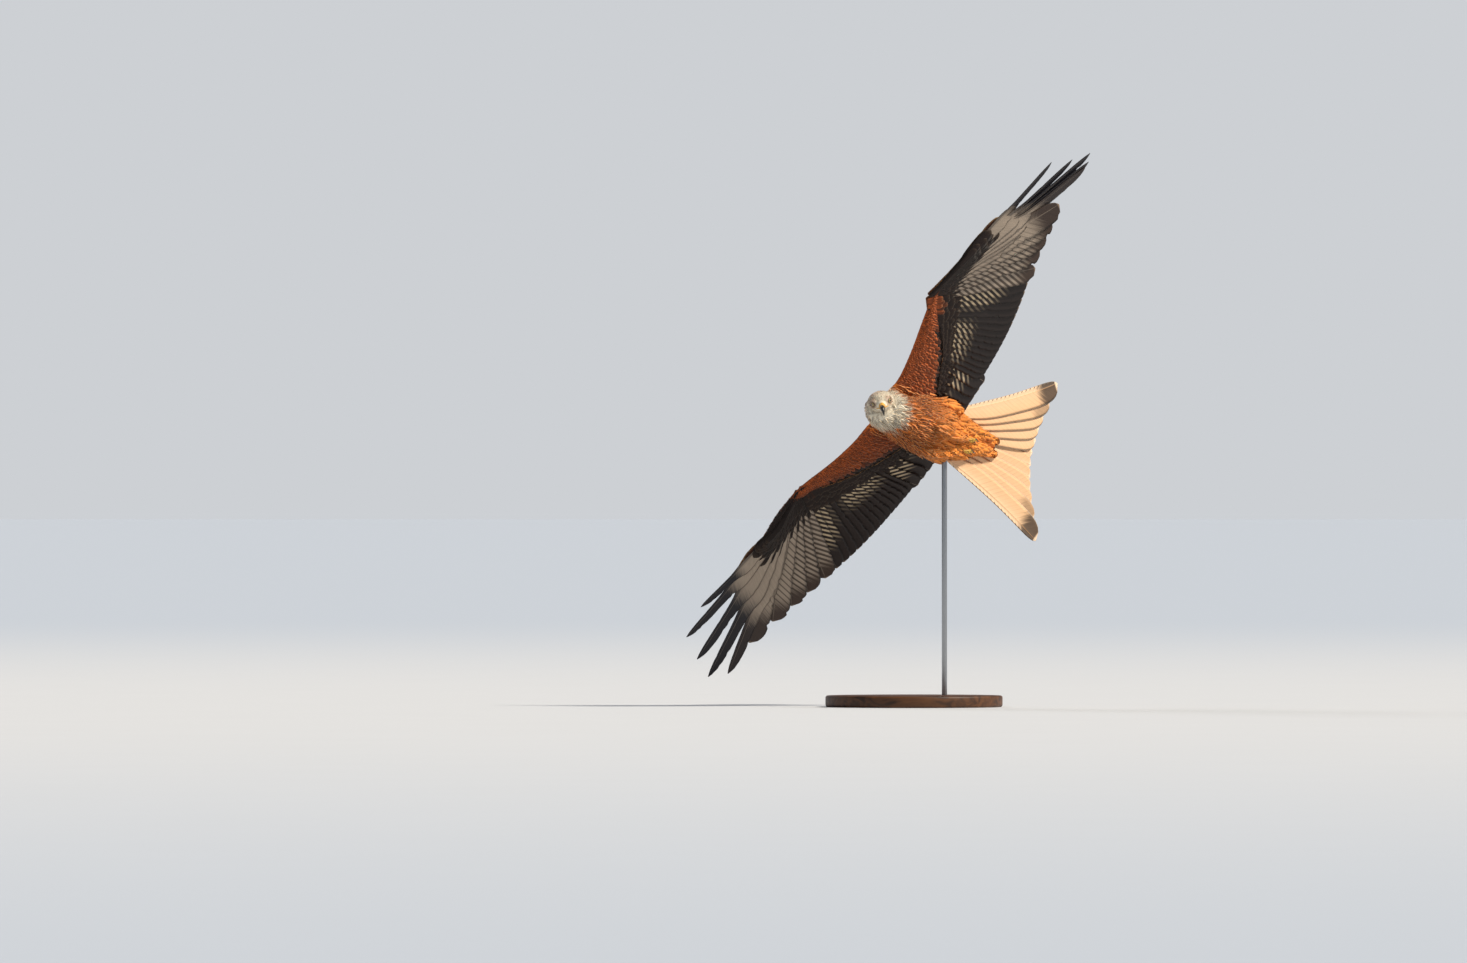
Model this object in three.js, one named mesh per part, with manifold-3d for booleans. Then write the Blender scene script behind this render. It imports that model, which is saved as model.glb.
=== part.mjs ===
// A red kite, life size, in a banked glide with its head turned down,
// held by one rod on a round base.
// Millimetres, Z up. The origin is the centre of the base's underside.
// The bird is built in its own frame and then turned and lifted as one group:
// X to the bird's right, Y towards its head, Z out of its back.

import * as THREE from "three";
import { mergeVertices } from "three/addons/utils/BufferGeometryUtils.js";
import Module from "manifold-3d";

const wasm = await Module();
wasm.setup();

// Driving dimensions of the pose
const HEADING = 118;          // degrees about Z, from facing +Y
const CLIMB = 15;             // degrees, nose above level
const BANK = 59;              // degrees, right wing down
const BIRD_HEIGHT = 650;      // from the floor to the bird's own origin
const BIRD_SHIFT = [0, 0];    // from the base's centre to the bird's origin
const GAP = 0.3;              // left between pieces that touch

// Driving dimensions of the feathers
const VANE = 0.65;            // thickness of a feather's vane
const VANE_TILT = 5;          // degrees: each leading edge lies over the next feather
const ROW_STEP = 0.75;        // each outer primary roots this much lower than the last
const PRIMARY_WIDTHS = [50, 54, 56, 56, 54, 52, 48, 44, 38, 30];
const SECONDARY_COUNT = 11;
const SECONDARY_WIDTH = 42;
const TERTIAL_COUNT = 3;
const TERTIAL_WIDTH = 46;
const TAIL_PAIRS = 6;
const TAIL_WIDTH = 48;

// Outlines of a vane: part of its length, part of its full width
const BLUNT = [[0, 0.3], [0.32, 0.86], [0.85, 1], [0.96, 0.72], [1, 0.3]];
const FINGER = [[0, 0.3], [0.42, 1], [0.6, 0.54], [0.88, 0.42], [1, 0.1]];
const SHORT = [[0, 0.55], [0.82, 1], [1, 0.4]];

const rad = THREE.MathUtils.degToRad;
const lerp = THREE.MathUtils.lerp;
const V = (x, y, z) => new THREE.Vector3(x, y, z);

// Solids

function closedMesh(points, triangles) {
  const geometry = new THREE.BufferGeometry();
  const flat = new Float32Array(points.flatMap((p) => [p.x, p.y, p.z]));
  geometry.setAttribute("position", new THREE.BufferAttribute(flat, 3));
  let volume = 0;
  for (const [a, b, c] of triangles) {
    volume += points[a].dot(V(0, 0, 0).crossVectors(points[b], points[c]));
  }
  const turned = volume < 0 ? triangles.map(([a, b, c]) => [a, c, b]) : triangles;
  geometry.setIndex(turned.flat());
  return geometry;
}

// The closed solid of a geometry. Corners closer than the weld are made one.
function solid(geometry, weld = 1e-4) {
  const plain = geometry.clone();
  plain.deleteAttribute("normal");
  plain.deleteAttribute("uv");
  const merged = mergeVertices(plain, weld);
  const vertProperties = new Float32Array(merged.attributes.position.array);
  const corners = merged.index.array;
  const kept = [];
  for (let i = 0; i < corners.length; i += 3) {
    const [a, b, c] = corners.slice(i, i + 3);
    if (a !== b && b !== c && c !== a) kept.push(a, b, c);
  }
  const triVerts = new Uint32Array(kept);
  return new wasm.Manifold(new wasm.Mesh({ numProp: 3, vertProperties, triVerts }));
}

// Rings of equal count, joined in order, with a flat fan over each end.
function loft(rings) {
  const count = rings[0].length;
  const points = rings.flat();
  const triangles = [];
  for (let i = 0; i + 1 < rings.length; i++) {
    for (let j = 0; j < count; j++) {
      const a = i * count + j;
      const b = i * count + ((j + 1) % count);
      triangles.push([a, b, b + count], [a, b + count, a + count]);
    }
  }
  for (const [start, turn] of [[0, false], [(rings.length - 1) * count, true]]) {
    const ring = points.slice(start, start + count);
    const middle = ring.reduce((sum, p) => sum.add(p), V(0, 0, 0)).divideScalar(count);
    const centre = points.push(middle) - 1;
    for (let j = 0; j < count; j++) {
      const a = start + j;
      const b = start + ((j + 1) % count);
      triangles.push(turn ? [a, b, centre] : [b, a, centre]);
    }
  }
  return solid(closedMesh(points, triangles));
}

function fuse(pieces) {
  return pieces.reduce((whole, piece) => whole.add(piece));
}

function cutClear(body, others) {
  return others.reduce((rest, other) => rest.subtract(other), body);
}

function largest(body) {
  const parts = body.decompose();
  return parts.reduce((best, part) => (part.volume() > best.volume() ? part : best));
}

// An oval ring round a centre. Up and down reach differ, and the ring can roll.
function ovalRing(centre, across, upward, wide, up, down, count) {
  const ring = [];
  for (let k = 0; k < count; k++) {
    const turn = (2 * Math.PI * k) / count;
    const side = Math.cos(turn) * wide;
    const rise = Math.sin(turn) * (Math.sin(turn) > 0 ? up : down);
    ring.push(centre.clone().addScaledVector(across, side).addScaledVector(upward, rise));
  }
  return ring;
}

// A tapering tube of round sections along a path of points with radii.
function limb(stops, sides, grow = 0) {
  const middle = stops.map((stop) => V(...stop.at));
  const rings = middle.map((point, k) => {
    const before = middle[Math.max(k - 1, 0)];
    const after = middle[Math.min(k + 1, middle.length - 1)];
    const along = after.clone().sub(before).normalize();
    const across = V(0.3, 0.2, 1).cross(along).normalize();
    const upward = along.clone().cross(across);
    const radius = stops[k].r + grow;
    const spread = k === 0 || k === middle.length - 1 ? grow : 0;
    const end = point.clone().addScaledVector(along, k === 0 ? -spread : spread);
    return ovalRing(end, across, upward, radius, radius, radius, sides);
  });
  return loft(rings);
}

// A feather's vane: a thin strip along its shaft, split alike on both faces.
// Each stop has a point, unit vectors to the side and up, and its two half widths.
function vaneSolid(stops, thick, grow = 0) {
  const points = [];
  const triangles = [];
  stops.forEach(({ at, side, up, lead, trail }, k) => {
    const thin = k === stops.length - 1 ? 0.6 : 1;
    for (const h of [1, -1]) {
      const level = h * ((thick * thin) / 2 + grow);
      for (const reach of [lead + grow, -trail - grow]) {
        points.push(at.clone().addScaledVector(side, reach).addScaledVector(up, level));
      }
    }
    if (k === 0) return;
    const [a, b, c, d] = [0, 1, 2, 3].map((n) => 4 * (k - 1) + n);
    triangles.push([a, b, b + 4], [a, b + 4, a + 4], [c, d + 4, d], [c, c + 4, d + 4]);
    triangles.push([a, a + 4, c + 4], [a, c + 4, c], [b, d, d + 4], [b, d + 4, b + 4]);
  });
  const end = points.length - 4;
  triangles.push([0, 2, 3], [0, 3, 1], [end, end + 3, end + 2], [end, end + 1, end + 3]);
  return solid(closedMesh(points, triangles));
}

// The value at x of a smooth curve through the points (xs, ys).
function smooth(xs, ys, x) {
  const last = xs.length - 1;
  const slope = (i) => {
    const a = Math.max(i - 1, 0);
    const b = Math.min(i + 1, last);
    return (ys[b] - ys[a]) / (xs[b] - xs[a]);
  };
  if (x <= xs[0]) return ys[0] + slope(0) * (x - xs[0]);
  if (x >= xs[last]) return ys[last] + slope(last) * (x - xs[last]);
  const i = xs.findIndex((value) => value > x) - 1;
  const h = xs[i + 1] - xs[i];
  const t = (x - xs[i]) / h;
  const start = (2 * t ** 3 - 3 * t ** 2 + 1) * ys[i] + (t ** 3 - 2 * t ** 2 + t) * h * slope(i);
  const end = (3 * t ** 2 - 2 * t ** 3) * ys[i + 1] + (t ** 3 - t ** 2) * h * slope(i + 1);
  return start + end;
}

// Torso: oval sections from the neck to the rump

const TORSO_SIDES = 20;
const TORSO = [
  { y: 84, x: -5, z: -8, wide: 41, up: 32, down: 33 },
  { y: 68, x: -3, z: -12, wide: 51, up: 39, down: 44 },
  { y: 40, x: 1, z: -16, wide: 57, up: 40, down: 53 },
  { y: 5, x: 3, z: -18, wide: 62, up: 43, down: 59 },
  { y: -35, x: 7, z: -18, wide: 64, up: 42, down: 56 },
  { y: -70, x: 14, z: -15, wide: 66, up: 38, down: 49 },
  { y: -92, x: 16, z: -12, wide: 62, up: 35, down: 43 },
];
const TORSO_ROLL = 24;        // degrees that the rump has turned with the tail

function torsoSolid(grow = 0) {
  const rings = TORSO.map((part, k) => {
    const roll = rad(TORSO_ROLL) * Math.max(0, (k - 3) / (TORSO.length - 4)) ** 2;
    const across = V(Math.cos(roll), 0, -Math.sin(roll));
    const upward = V(Math.sin(roll), 0, Math.cos(roll));
    const end = k === 0 ? grow : k === TORSO.length - 1 ? -grow : 0;
    const centre = V(part.x, part.y + end, part.z);
    const sizes = [part.wide + grow, part.up + grow, part.down + grow];
    return ovalRing(centre, across, upward, ...sizes, TORSO_SIDES);
  });
  return loft(rings);
}

// Head: looks straight down past the left side of the breast

const HEAD_CENTRE = V(-22, 105, -18);
const LOOK = V(-0.127, 0.303, -0.944).normalize();
const CROWN = V(-0.783, 0.553, 0.282).normalize();
const HEAD_SIDE = LOOK.clone().cross(CROWN).normalize();
const HEAD_SIDES = 18;
const HEAD = [
  { s: -36, wide: 10, up: 9, down: 12 },
  { s: -29, wide: 23, up: 19, down: 26 },
  { s: -17, wide: 31, up: 25, down: 32 },
  { s: -5, wide: 33, up: 27, down: 31 },
  { s: 6, wide: 28, up: 24.5, down: 26 },
  { s: 15, wide: 21, up: 18.5, down: 19.5 },
  { s: 22, wide: 13.5, up: 12.5, down: 14 },
  { s: 26, wide: 9, up: 9, down: 10 },
];

// A point of the head: s along the look, x to the bird's right, u to the crown.
function headPoint(s, x, u) {
  return HEAD_CENTRE.clone()
    .addScaledVector(LOOK, s)
    .addScaledVector(HEAD_SIDE, x)
    .addScaledVector(CROWN, u);
}

function headSolid(grow = 0) {
  const rings = HEAD.map((part, k) => {
    const end = k === 0 ? -grow : k === HEAD.length - 1 ? Math.max(grow, 0) : 0;
    const centre = headPoint(part.s + end, 0, 0);
    const sizes = [part.wide + grow, part.up + grow, part.down + grow];
    return ovalRing(centre, HEAD_SIDE, CROWN, ...sizes, HEAD_SIDES);
  });
  return loft(rings);
}

function ballSolid(centre, radius, sides = 14) {
  const ball = new THREE.SphereGeometry(radius, sides, Math.ceil(sides / 2) + 1);
  ball.translate(centre.x, centre.y, centre.z);
  return solid(ball);
}

const EYE = { s: 11.5, x: 17.2, u: 4.5, radius: 6.4 };
const eyeCentre = (sign) => headPoint(EYE.s, sign * EYE.x, EYE.u);

// Over each eye lies a brow ridge, and round it a ring of lids.
const BROW = [
  { s: 19, x: 11, u: 9, r: 2.2 },
  { s: 12, x: 17.5, u: 11, r: 3 },
  { s: 3, x: 21.5, u: 10.5, r: 2 },
];
const LID = { radius: 5.3, thick: 1.1, out: 4.2 };

function browSolid(sign) {
  const stops = BROW.map(({ s, x, u, r }) => ({ at: headPoint(s, sign * x, u).toArray(), r }));
  return limb(stops, 8);
}

function lidSolid(sign) {
  const outward = eyeCentre(sign).sub(headPoint(EYE.s - EYE.radius, 0, EYE.u)).normalize();
  const ring = new THREE.TorusGeometry(LID.radius, LID.thick, 5, 12);
  ring.applyQuaternion(new THREE.Quaternion().setFromUnitVectors(V(0, 0, 1), outward));
  const centre = eyeCentre(sign).addScaledVector(outward, LID.out);
  ring.translate(centre.x, centre.y, centre.z);
  return solid(ring);
}

// The mouth line runs back from the bill, as a groove in each cheek.
const GAPE = { from: 8, to: 40, u: -4.4, x: 24, thick: 0.9, deep: 1.6 };

function gapeSolid() {
  const ring = (s) => [
    headPoint(s, -GAPE.x, GAPE.u - GAPE.thick / 2),
    headPoint(s, GAPE.x, GAPE.u - GAPE.thick / 2),
    headPoint(s, GAPE.x, GAPE.u + GAPE.thick / 2),
    headPoint(s, -GAPE.x, GAPE.u + GAPE.thick / 2),
  ];
  return loft([ring(GAPE.from), ring(GAPE.to)]).subtract(headSolid(-GAPE.deep));
}

// Bill: cere, hooked upper half and shorter lower half
const BILL_FACE = 26;         // along the look, where the cere meets the head
const CERE = [
  { s: 0, drop: 0, wide: 7.6, up: 8.2, down: 1.6 },
  { s: 5, drop: 0.4, wide: 6.6, up: 7.4, down: 1.4 },
  { s: 10, drop: 1.2, wide: 5.6, up: 6.6, down: 1.4 },
];
const HOOK = [
  { s: 10, drop: 1.2, wide: 5.5, up: 6.5, down: 1.4 },
  { s: 16, drop: 2.6, wide: 4.5, up: 6, down: 2 },
  { s: 21, drop: 5.6, wide: 3.4, up: 5.2, down: 2.6 },
  { s: 24.5, drop: 10, wide: 2.3, up: 4, down: 2.4 },
  { s: 25.8, drop: 15, wide: 0.8, up: 1.6, down: 1.2 },
];
const LOWER_BILL = [
  { s: 0, drop: 4.6, wide: 7.2, up: 2.6, down: 3.6 },
  { s: 8, drop: 5, wide: 5.6, up: 2.4, down: 3 },
  { s: 15, drop: 6.6, wide: 3.8, up: 2, down: 2.4 },
  { s: 19, drop: 8.6, wide: 1.4, up: 0.8, down: 0.9 },
];

function billPart(list, start, grow = 0) {
  const rings = list.map((part, k) => {
    const end = k === 0 ? start : 0;
    const centre = headPoint(BILL_FACE + part.s + end, 0, -part.drop);
    const sizes = [part.wide + grow, part.up + grow, part.down + grow];
    return ovalRing(centre, HEAD_SIDE, CROWN, ...sizes, 12);
  });
  return loft(rings);
}

// A nostril: an oval pit in each side of the cere
const NOSTRIL = { s: 31, x: 6.4, u: 3, radius: 1.5 };
const nostrilAt = (sign) => headPoint(NOSTRIL.s, sign * NOSTRIL.x, NOSTRIL.u);
const nostrilSolid = (sign) => ballSolid(nostrilAt(sign), NOSTRIL.radius, 8);

// Neck: from the front of the torso to the back of the head
const NECK = [
  { at: [2, 52, -17], r: 38 },
  { at: [5, 82, -13], r: 39.5 },
  { at: [-8, 97, -3], r: 36.5 },
  { at: [-18, 103, -6], r: 28 },
];

// Wing surface: u out from the midline, v forward, and a height over both.
// A bow is the share of a shaft's length that its middle bends towards the leading edge.

const STATION_U = [45, 160, 270, 500, 780];
const BOW = 0.018;
const LEFT = {
  name: "left",
  sign: -1,
  fingerBow: 0.004,
  wrist: [278, 80],
  elbow: [160, 5],
  handAngle: -18,
  primaryAngles: [-61, -51.8, -46.1, -42, -38.4, -32.9, -32.3, -30.4, -27.6, -21.4],
  primaryLengths: [248, 257, 271, 285, 305, 388, 392, 396, 346, 299],
  secondaryAngles: [-66, -98],
  secondaryLengths: [234, 142],
  tertialRoots: [[150, 4], [66, -14]],
  tertialTips: [[118, -142], [60, -128]],
  heights: [20, 40, 53, 78, 124],
  twist: 0.062,
  armLead: [[44, 84], [70, 73], [138, 70], [186, 73], [244, 77], [276, 78]],
  handLead: [[279, 78], [299, 73], [330, 67], [357, 60], [400, 40]],
  armBack: [[44, -44], [84, -31], [158, -9], [218, 28], [270, 64]],
};
const RIGHT = {
  name: "right",
  sign: 1,
  fingerBow: -0.012,
  wrist: [275, 147],
  elbow: [168, 50],
  handAngle: 5,
  primaryAngles: [-43.4, -34.2, -26.8, -19.5, -12.3, -8.8, -3.3, 3.2, 12.4, 18],
  primaryLengths: [241, 255, 274, 302, 350, 426, 433, 388, 339, 250],
  secondaryAngles: [-48, -82],
  secondaryLengths: [234, 148],
  tertialRoots: [[155, 42], [80, 2]],
  tertialTips: [[164, -105], [94, -112]],
  heights: [15, 30, 46, 50, 58],
  twist: -0.015,
  armLead: [[44, 90], [69, 95], [97, 98], [146, 111], [195, 128], [245, 148], [273, 158]],
  handLead: [[276, 159], [306, 166], [345, 174], [404, 178]],
  armBack: [[44, -30], [95, -8], [166, 36], [222, 84], [268, 131]],
};
const PRIMARY_ROOTS = [8, 103];
const FIRST_FINGER = 5;       // counted from the innermost primary, which is 0

function wingPoint(wing, u, v, h = 0) {
  const level = smooth(STATION_U, wing.heights, u) + wing.twist * (wing.wrist[1] - v);
  return V(wing.sign * u, v, level + h);
}

// Each flight feather: where its shaft starts, which way it points, and its size.
function flightFeathers(wing) {
  const list = [];
  const [wu, wv] = wing.wrist;
  const hand = rad(wing.handAngle);
  wing.primaryLengths.forEach((length, k) => {
    const reach = lerp(...PRIMARY_ROOTS, k / (PRIMARY_WIDTHS.length - 1));
    const angle = rad(wing.primaryAngles[k]);
    const root = [wu + reach * Math.cos(hand), wv + reach * Math.sin(hand)];
    const finger = k >= FIRST_FINGER;
    const shape = { outline: finger ? FINGER : BLUNT, bow: finger ? wing.fingerBow : BOW };
    const sizes = { length, width: PRIMARY_WIDTHS[k], level: -ROW_STEP * k };
    list.push({ kind: "primary", root, angle, ...sizes, ...shape });
  });
  for (let n = 0; n < SECONDARY_COUNT; n++) {
    const t = n / (SECONDARY_COUNT - 1);
    const f = lerp(0.05, 1, t);
    const root = [lerp(wu, wing.elbow[0], f), lerp(wv, wing.elbow[1], f)];
    const angle = rad(lerp(...wing.secondaryAngles, t));
    const length = lerp(...wing.secondaryLengths, t);
    const sizes = { length, width: SECONDARY_WIDTH, outline: BLUNT, level: 0 };
    list.push({ kind: "secondary", root, angle, ...sizes });
  }
  for (let n = 0; n < TERTIAL_COUNT; n++) {
    const t = n / (TERTIAL_COUNT - 1);
    const between = ([from, to]) => [0, 1].map((k) => lerp(from[k], to[k], t));
    const root = between(wing.tertialRoots);
    const tip = between(wing.tertialTips);
    const angle = Math.atan2(tip[1] - root[1], tip[0] - root[0]);
    const length = Math.hypot(tip[0] - root[0], tip[1] - root[1]);
    const sizes = { length, width: TERTIAL_WIDTH, outline: BLUNT, level: 0.4 };
    list.push({ kind: "tertial", root, angle, ...sizes });
  }
  return list;
}

// How far a point lies behind the wing's leading edge, less a margin.
const EDGE_MARGIN = 3;

function edgeRoom(wing, point, slope) {
  const edge = [...wing.armLead, ...wing.handLead];
  const ahead = smooth(edge.map(([u]) => u), edge.map(([, v]) => v), wing.sign * point.x);
  return (ahead - EDGE_MARGIN - point.y) * Math.max(slope, 0.5);
}

const LEAD_SHARE = 0.34;      // of a vane's width, in front of its shaft

// A vane that lies on the wing's surface, its trailing edge tilted down.
function wingVane(wing, feather, grow = 0) {
  const { root, angle, length, width, outline, level, behindEdge, bow = BOW } = feather;
  const [c, s] = [Math.cos(angle), Math.sin(angle)];
  const at = (t, reach = 0) => {
    const across = 4 * bow * length * t * (1 - t) + reach;
    const u = root[0] + length * t * c - across * s;
    const v = root[1] + length * t * s + across * c;
    return wingPoint(wing, u, v, level);
  };
  const stops = outline.map(([t, share]) => {
    const point = at(t);
    const along = at(t + 0.02).sub(at(t - 0.02)).normalize();
    const flat = at(t, 1).sub(point).normalize();
    const up = flat.clone().cross(along).normalize();
    if (up.z < 0) up.negate();
    const tilt = rad(VANE_TILT);
    const side = flat.clone().multiplyScalar(Math.cos(tilt)).addScaledVector(up, Math.sin(tilt));
    const normal = up.multiplyScalar(Math.cos(tilt)).addScaledVector(flat, -Math.sin(tilt));
    const lead = width * share * LEAD_SHARE;
    const room = behindEdge ? edgeRoom(wing, point, c) : lead;
    const trail = width * share - lead;
    return { at: point, side, up: normal, lead: THREE.MathUtils.clamp(room, 1, lead), trail };
  });
  return vaneSolid(stops, VANE, grow);
}

// Coverts above and below the flight feathers, greater ones and then median ones.
// Each is a shorter vane that roots nearer the leading edge, at a level of its own.
const COVERTS = [
  { every: 1, share: 0.45, back: 4, level: -3.6, width: 27 },
  { every: 1, share: 0.45, back: 4, level: 2.5, width: 27 },
  { every: 2, share: 0.27, back: 10, level: -5.7, width: 36 },
  { every: 2, share: 0.27, back: 10, level: 4.6, width: 36 },
];

function coverts(feathers) {
  const list = [];
  for (const { every, share, back, level, width } of COVERTS) {
    for (let k = 0; k < feathers.length - 1; k += every) {
      const { root, angle, length, level: base } = feathers[k];
      const start = [root[0] - back * Math.cos(angle), root[1] - back * Math.sin(angle)];
      const sizes = { length: length * share + back, width, outline: SHORT };
      list.push({ root: start, angle, ...sizes, level: base + level, behindEdge: true });
    }
  }
  return list;
}

// The flesh of the wing: sections from the leading edge to where the feathers root.
const BACK_EDGE = 4.8;        // half thickness where the feathers leave the flesh
const SECTION = [             // part of the chord, part of the half thickness
  [0, 0], [0.08, 0.55], [0.3, 0.95], [0.55, 1], [0.82, 0.8],
];

function wingCore(wing, lead, back, thick, sink, count, grow = 0) {
  const curve = (list) => new THREE.CatmullRomCurve3(list.map(([u, v]) => V(u, v, 0)));
  const front = curve(lead);
  const rear = curve(back);
  const rings = [];
  for (let k = 0; k < count; k++) {
    const t = k / (count - 1);
    const a = front.getPoint(t);
    const b = rear.getPoint(t);
    const along = b.clone().sub(a).normalize();
    const half = Math.max(lerp(...thick, t), BACK_EDGE + 1);
    const outward = k === 0 ? -grow : k === count - 1 ? grow : 0;
    const at = (part, h, more) => {
      const p = a.clone().lerp(b, part).addScaledVector(along, more);
      return wingPoint(wing, p.x + outward, p.y, h - sink * t);
    };
    const top = SECTION.slice(1).map(([part, h]) => at(part, h * half + grow, 0));
    const under = SECTION.slice(1).map(([part, h]) => at(part, -h * half - grow, 0)).reverse();
    const rim = [at(1, BACK_EDGE + grow, grow), at(1, -BACK_EDGE - grow, grow)];
    rings.push([at(0, 0, -grow), ...top, ...rim, ...under]);
  }
  return loft(rings);
}

const ARM_THICK = [15, 8.5];
const HAND_THICK = [8.5, 6.5];
const HAND_SINK = 4;          // the hand's tip lies this much lower, with its lowest feathers
const HAND_BACK = 13;         // the hand's flesh reaches this far past each feather's root
const armCore = (wing, grow = 0) => wingCore(wing, wing.armLead, wing.armBack, ARM_THICK, 0, 8, grow);
function handCore(wing, grow = 0) {
  const primaries = flightFeathers(wing).filter((feather) => feather.kind === "primary");
  const behind = primaries.map(({ root, angle }) => [
    root[0] + HAND_BACK * Math.cos(angle),
    root[1] + HAND_BACK * Math.sin(angle),
  ]);
  return wingCore(wing, wing.handLead, behind, HAND_THICK, HAND_SINK, 5, grow);
}

// Tail: a rump and coverts cone with twelve feathers in a twisted fan

const TAIL_ROOT = V(8, -95, 5);
const TAIL_RAISE = 14;        // degrees above the body's line
const TAIL_TWIST = 36;        // degrees, right edge down
const TAIL_YAW = 6;           // degrees towards the right
const TAIL_FAN = { left: 25, right: 22 };         // degrees from the middle to the outermost shaft
const TAIL_ROOT_HALF = { left: 48, right: 59 };   // from the middle to the outermost root
const TAIL_BEND = 0.00066;    // radians per millimetre, outer feathers bend outwards
const TAIL_LENGTHS = [260, 329];
const TAIL_POWER = 2.4;
const tailTurn = new THREE.Matrix4()
  .makeRotationX(-rad(TAIL_RAISE))
  .multiply(new THREE.Matrix4().makeRotationY(rad(TAIL_TWIST)))
  .multiply(new THREE.Matrix4().makeRotationZ(rad(TAIL_YAW)));

// A point of the tail's plane: x across, t back from the root, h above the plane.
function tailPoint(x, t, h = 0) {
  return V(x, -t, h).applyMatrix4(tailTurn).add(TAIL_ROOT);
}

// The point, heading and level of a tail feather's shaft at a part of its length.
function tailShaft(pair, sign) {
  const f = (pair - 0.5) / (TAIL_PAIRS - 0.5);
  const length = lerp(...TAIL_LENGTHS, f ** TAIL_POWER);
  const steps = 40;
  const shaft = [];
  const side = sign < 0 ? "left" : "right";
  let [x, t] = [TAIL_ROOT_HALF[side] * f, 0];
  for (let k = 0; k <= steps; k++) {
    const angle = f * (rad(TAIL_FAN[side]) + TAIL_BEND * (length * (k / steps - 0.5)));
    shaft.push({ x: sign * x, t, angle: sign * angle });
    x += (length / steps) * Math.sin(angle);
    t += (length / steps) * Math.cos(angle);
  }
  return (part) => shaft[Math.round(part * steps)];
}

// The middle pair lies on top, and each further feather under the one before.
const TAIL_LEVELS = [1.6, -1, -1.3, -1.6, -1.9, -2.2];
const TAIL_LEFT_OVER = 1.2;   // the left middle feather lies this much over the right

function tailVane(pair, sign, grow = 0) {
  const shaftAt = tailShaft(pair, sign);
  const tilt = pair === 1 ? 0 : rad(VANE_TILT);
  const level = TAIL_LEVELS[pair - 1] + (pair === 1 && sign < 0 ? TAIL_LEFT_OVER : 0);
  const outer = lerp(0.46, 0.24, (pair - 1) / (TAIL_PAIRS - 1));
  const stops = BLUNT.map(([part, share]) => {
    const { x, t, angle } = shaftAt(part);
    const flat = V(sign * Math.cos(angle), sign * Math.sin(angle), 0);
    const side = flat.clone().multiplyScalar(Math.cos(tilt)).setZ(Math.sin(tilt));
    const up = V(0, 0, Math.cos(tilt)).addScaledVector(flat, -Math.sin(tilt));
    const turn = (v) => V(v.x, v.y, v.z).transformDirection(tailTurn);
    const lead = TAIL_WIDTH * share * outer;
    const trail = TAIL_WIDTH * share - lead;
    return { at: tailPoint(x, t, level), side: turn(side), up: turn(up), lead, trail };
  });
  return vaneSolid(stops, VANE, grow);
}

// Tail coverts above and below: from across and back, to across and back, with levels.
const TAIL_COVERTS = [
  { x: [6, 9], t: [20, 128], h: [13, 4.2], width: 26 },
  { x: [20, 29], t: [16, 112], h: [11, 3.4], width: 26 },
  { x: [33, 47], t: [10, 92], h: [8, 2.6], width: 26 },
  { x: [7, 11], t: [60, 172], h: [-18, -5], width: 24 },
  { x: [20, 30], t: [40, 148], h: [-16, -5.5], width: 24 },
];

function tailCovert({ x, t, h, width }, sign, grow = 0) {
  const turn = (v) => v.transformDirection(tailTurn);
  const drop = Math.atan2(h[0] - h[1], t[1] - t[0]);
  const stops = SHORT.map(([part, share]) => ({
    at: tailPoint(sign * lerp(...x, part), lerp(...t, part), lerp(...h, part)),
    side: turn(V(sign, 0, 0)),
    up: turn(V(0, Math.sin(-drop), Math.cos(drop))),
    lead: (width * share) / 2,
    trail: (width * share) / 2,
  }));
  return vaneSolid(stops, VANE, grow);
}

const CONE_SIDES = 16;
const CONE = [
  { t: -2, x: 4, wide: 61, up: 31, down: 42 },
  { t: 22, x: 5, wide: 59, up: 20, down: 38 },
  { t: 48, x: 4, wide: 50, up: 13, down: 32 },
  { t: 78, x: 2, wide: 38, up: 8, down: 24 },
  { t: 108, x: 0, wide: 26, up: 5, down: 15 },
  { t: 134, x: 0, wide: 17, up: 3, down: 8 },
  { t: 156, x: 0, wide: 6, up: 1.5, down: 4 },
];

function coneSolid(grow = 0) {
  const across = V(1, 0, 0).transformDirection(tailTurn);
  const upward = V(0, 0, 1).transformDirection(tailTurn);
  const rings = CONE.map((part, k) => {
    const end = k === 0 ? -grow : k === CONE.length - 1 ? grow : 0;
    const centre = tailPoint(part.x, part.t + end);
    const sizes = [part.wide + grow, part.up + grow, part.down + grow];
    return ovalRing(centre, across, upward, ...sizes, CONE_SIDES);
  });
  return loft(rings);
}

function tailSolid(grow = 0) {
  const pieces = [coneSolid(grow)];
  for (const sign of [-1, 1]) {
    for (let pair = 1; pair <= TAIL_PAIRS; pair++) pieces.push(tailVane(pair, sign, grow));
    for (const covert of TAIL_COVERTS) pieces.push(tailCovert(covert, sign, grow));
  }
  return fuse(pieces);
}

// Legs: feathered thighs folded back along the belly, and tucked feet

const thighStops = (sign) => [
  { at: [4 + sign * 31, -18, -52], r: 17 },
  { at: [6 + sign * 30, -42, -62], r: 19 },
  { at: [7 + sign * 25, -68, -62], r: 15 },
  { at: [6 + sign * 18, -92, -52], r: 7 },
];
const tarsusStops = (sign) => [
  { at: [6 + sign * 18, -86, -54], r: 3.6 },
  { at: [7 + sign * 15, -104, -46 - sign * 3], r: 3.4 },
  { at: [8 + sign * 13, -124, -40 - sign * 4], r: 3.8 },
];
const TOES = [
  { spread: -9, length: 26, r: 3 },
  { spread: 0, length: 32, r: 3.1 },
  { spread: 9, length: 26, r: 3 },
  { spread: 176, length: 15, r: 3 },
];
const TOE_RISE = 0.42;        // closed toes rise with the tail's underside

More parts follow.
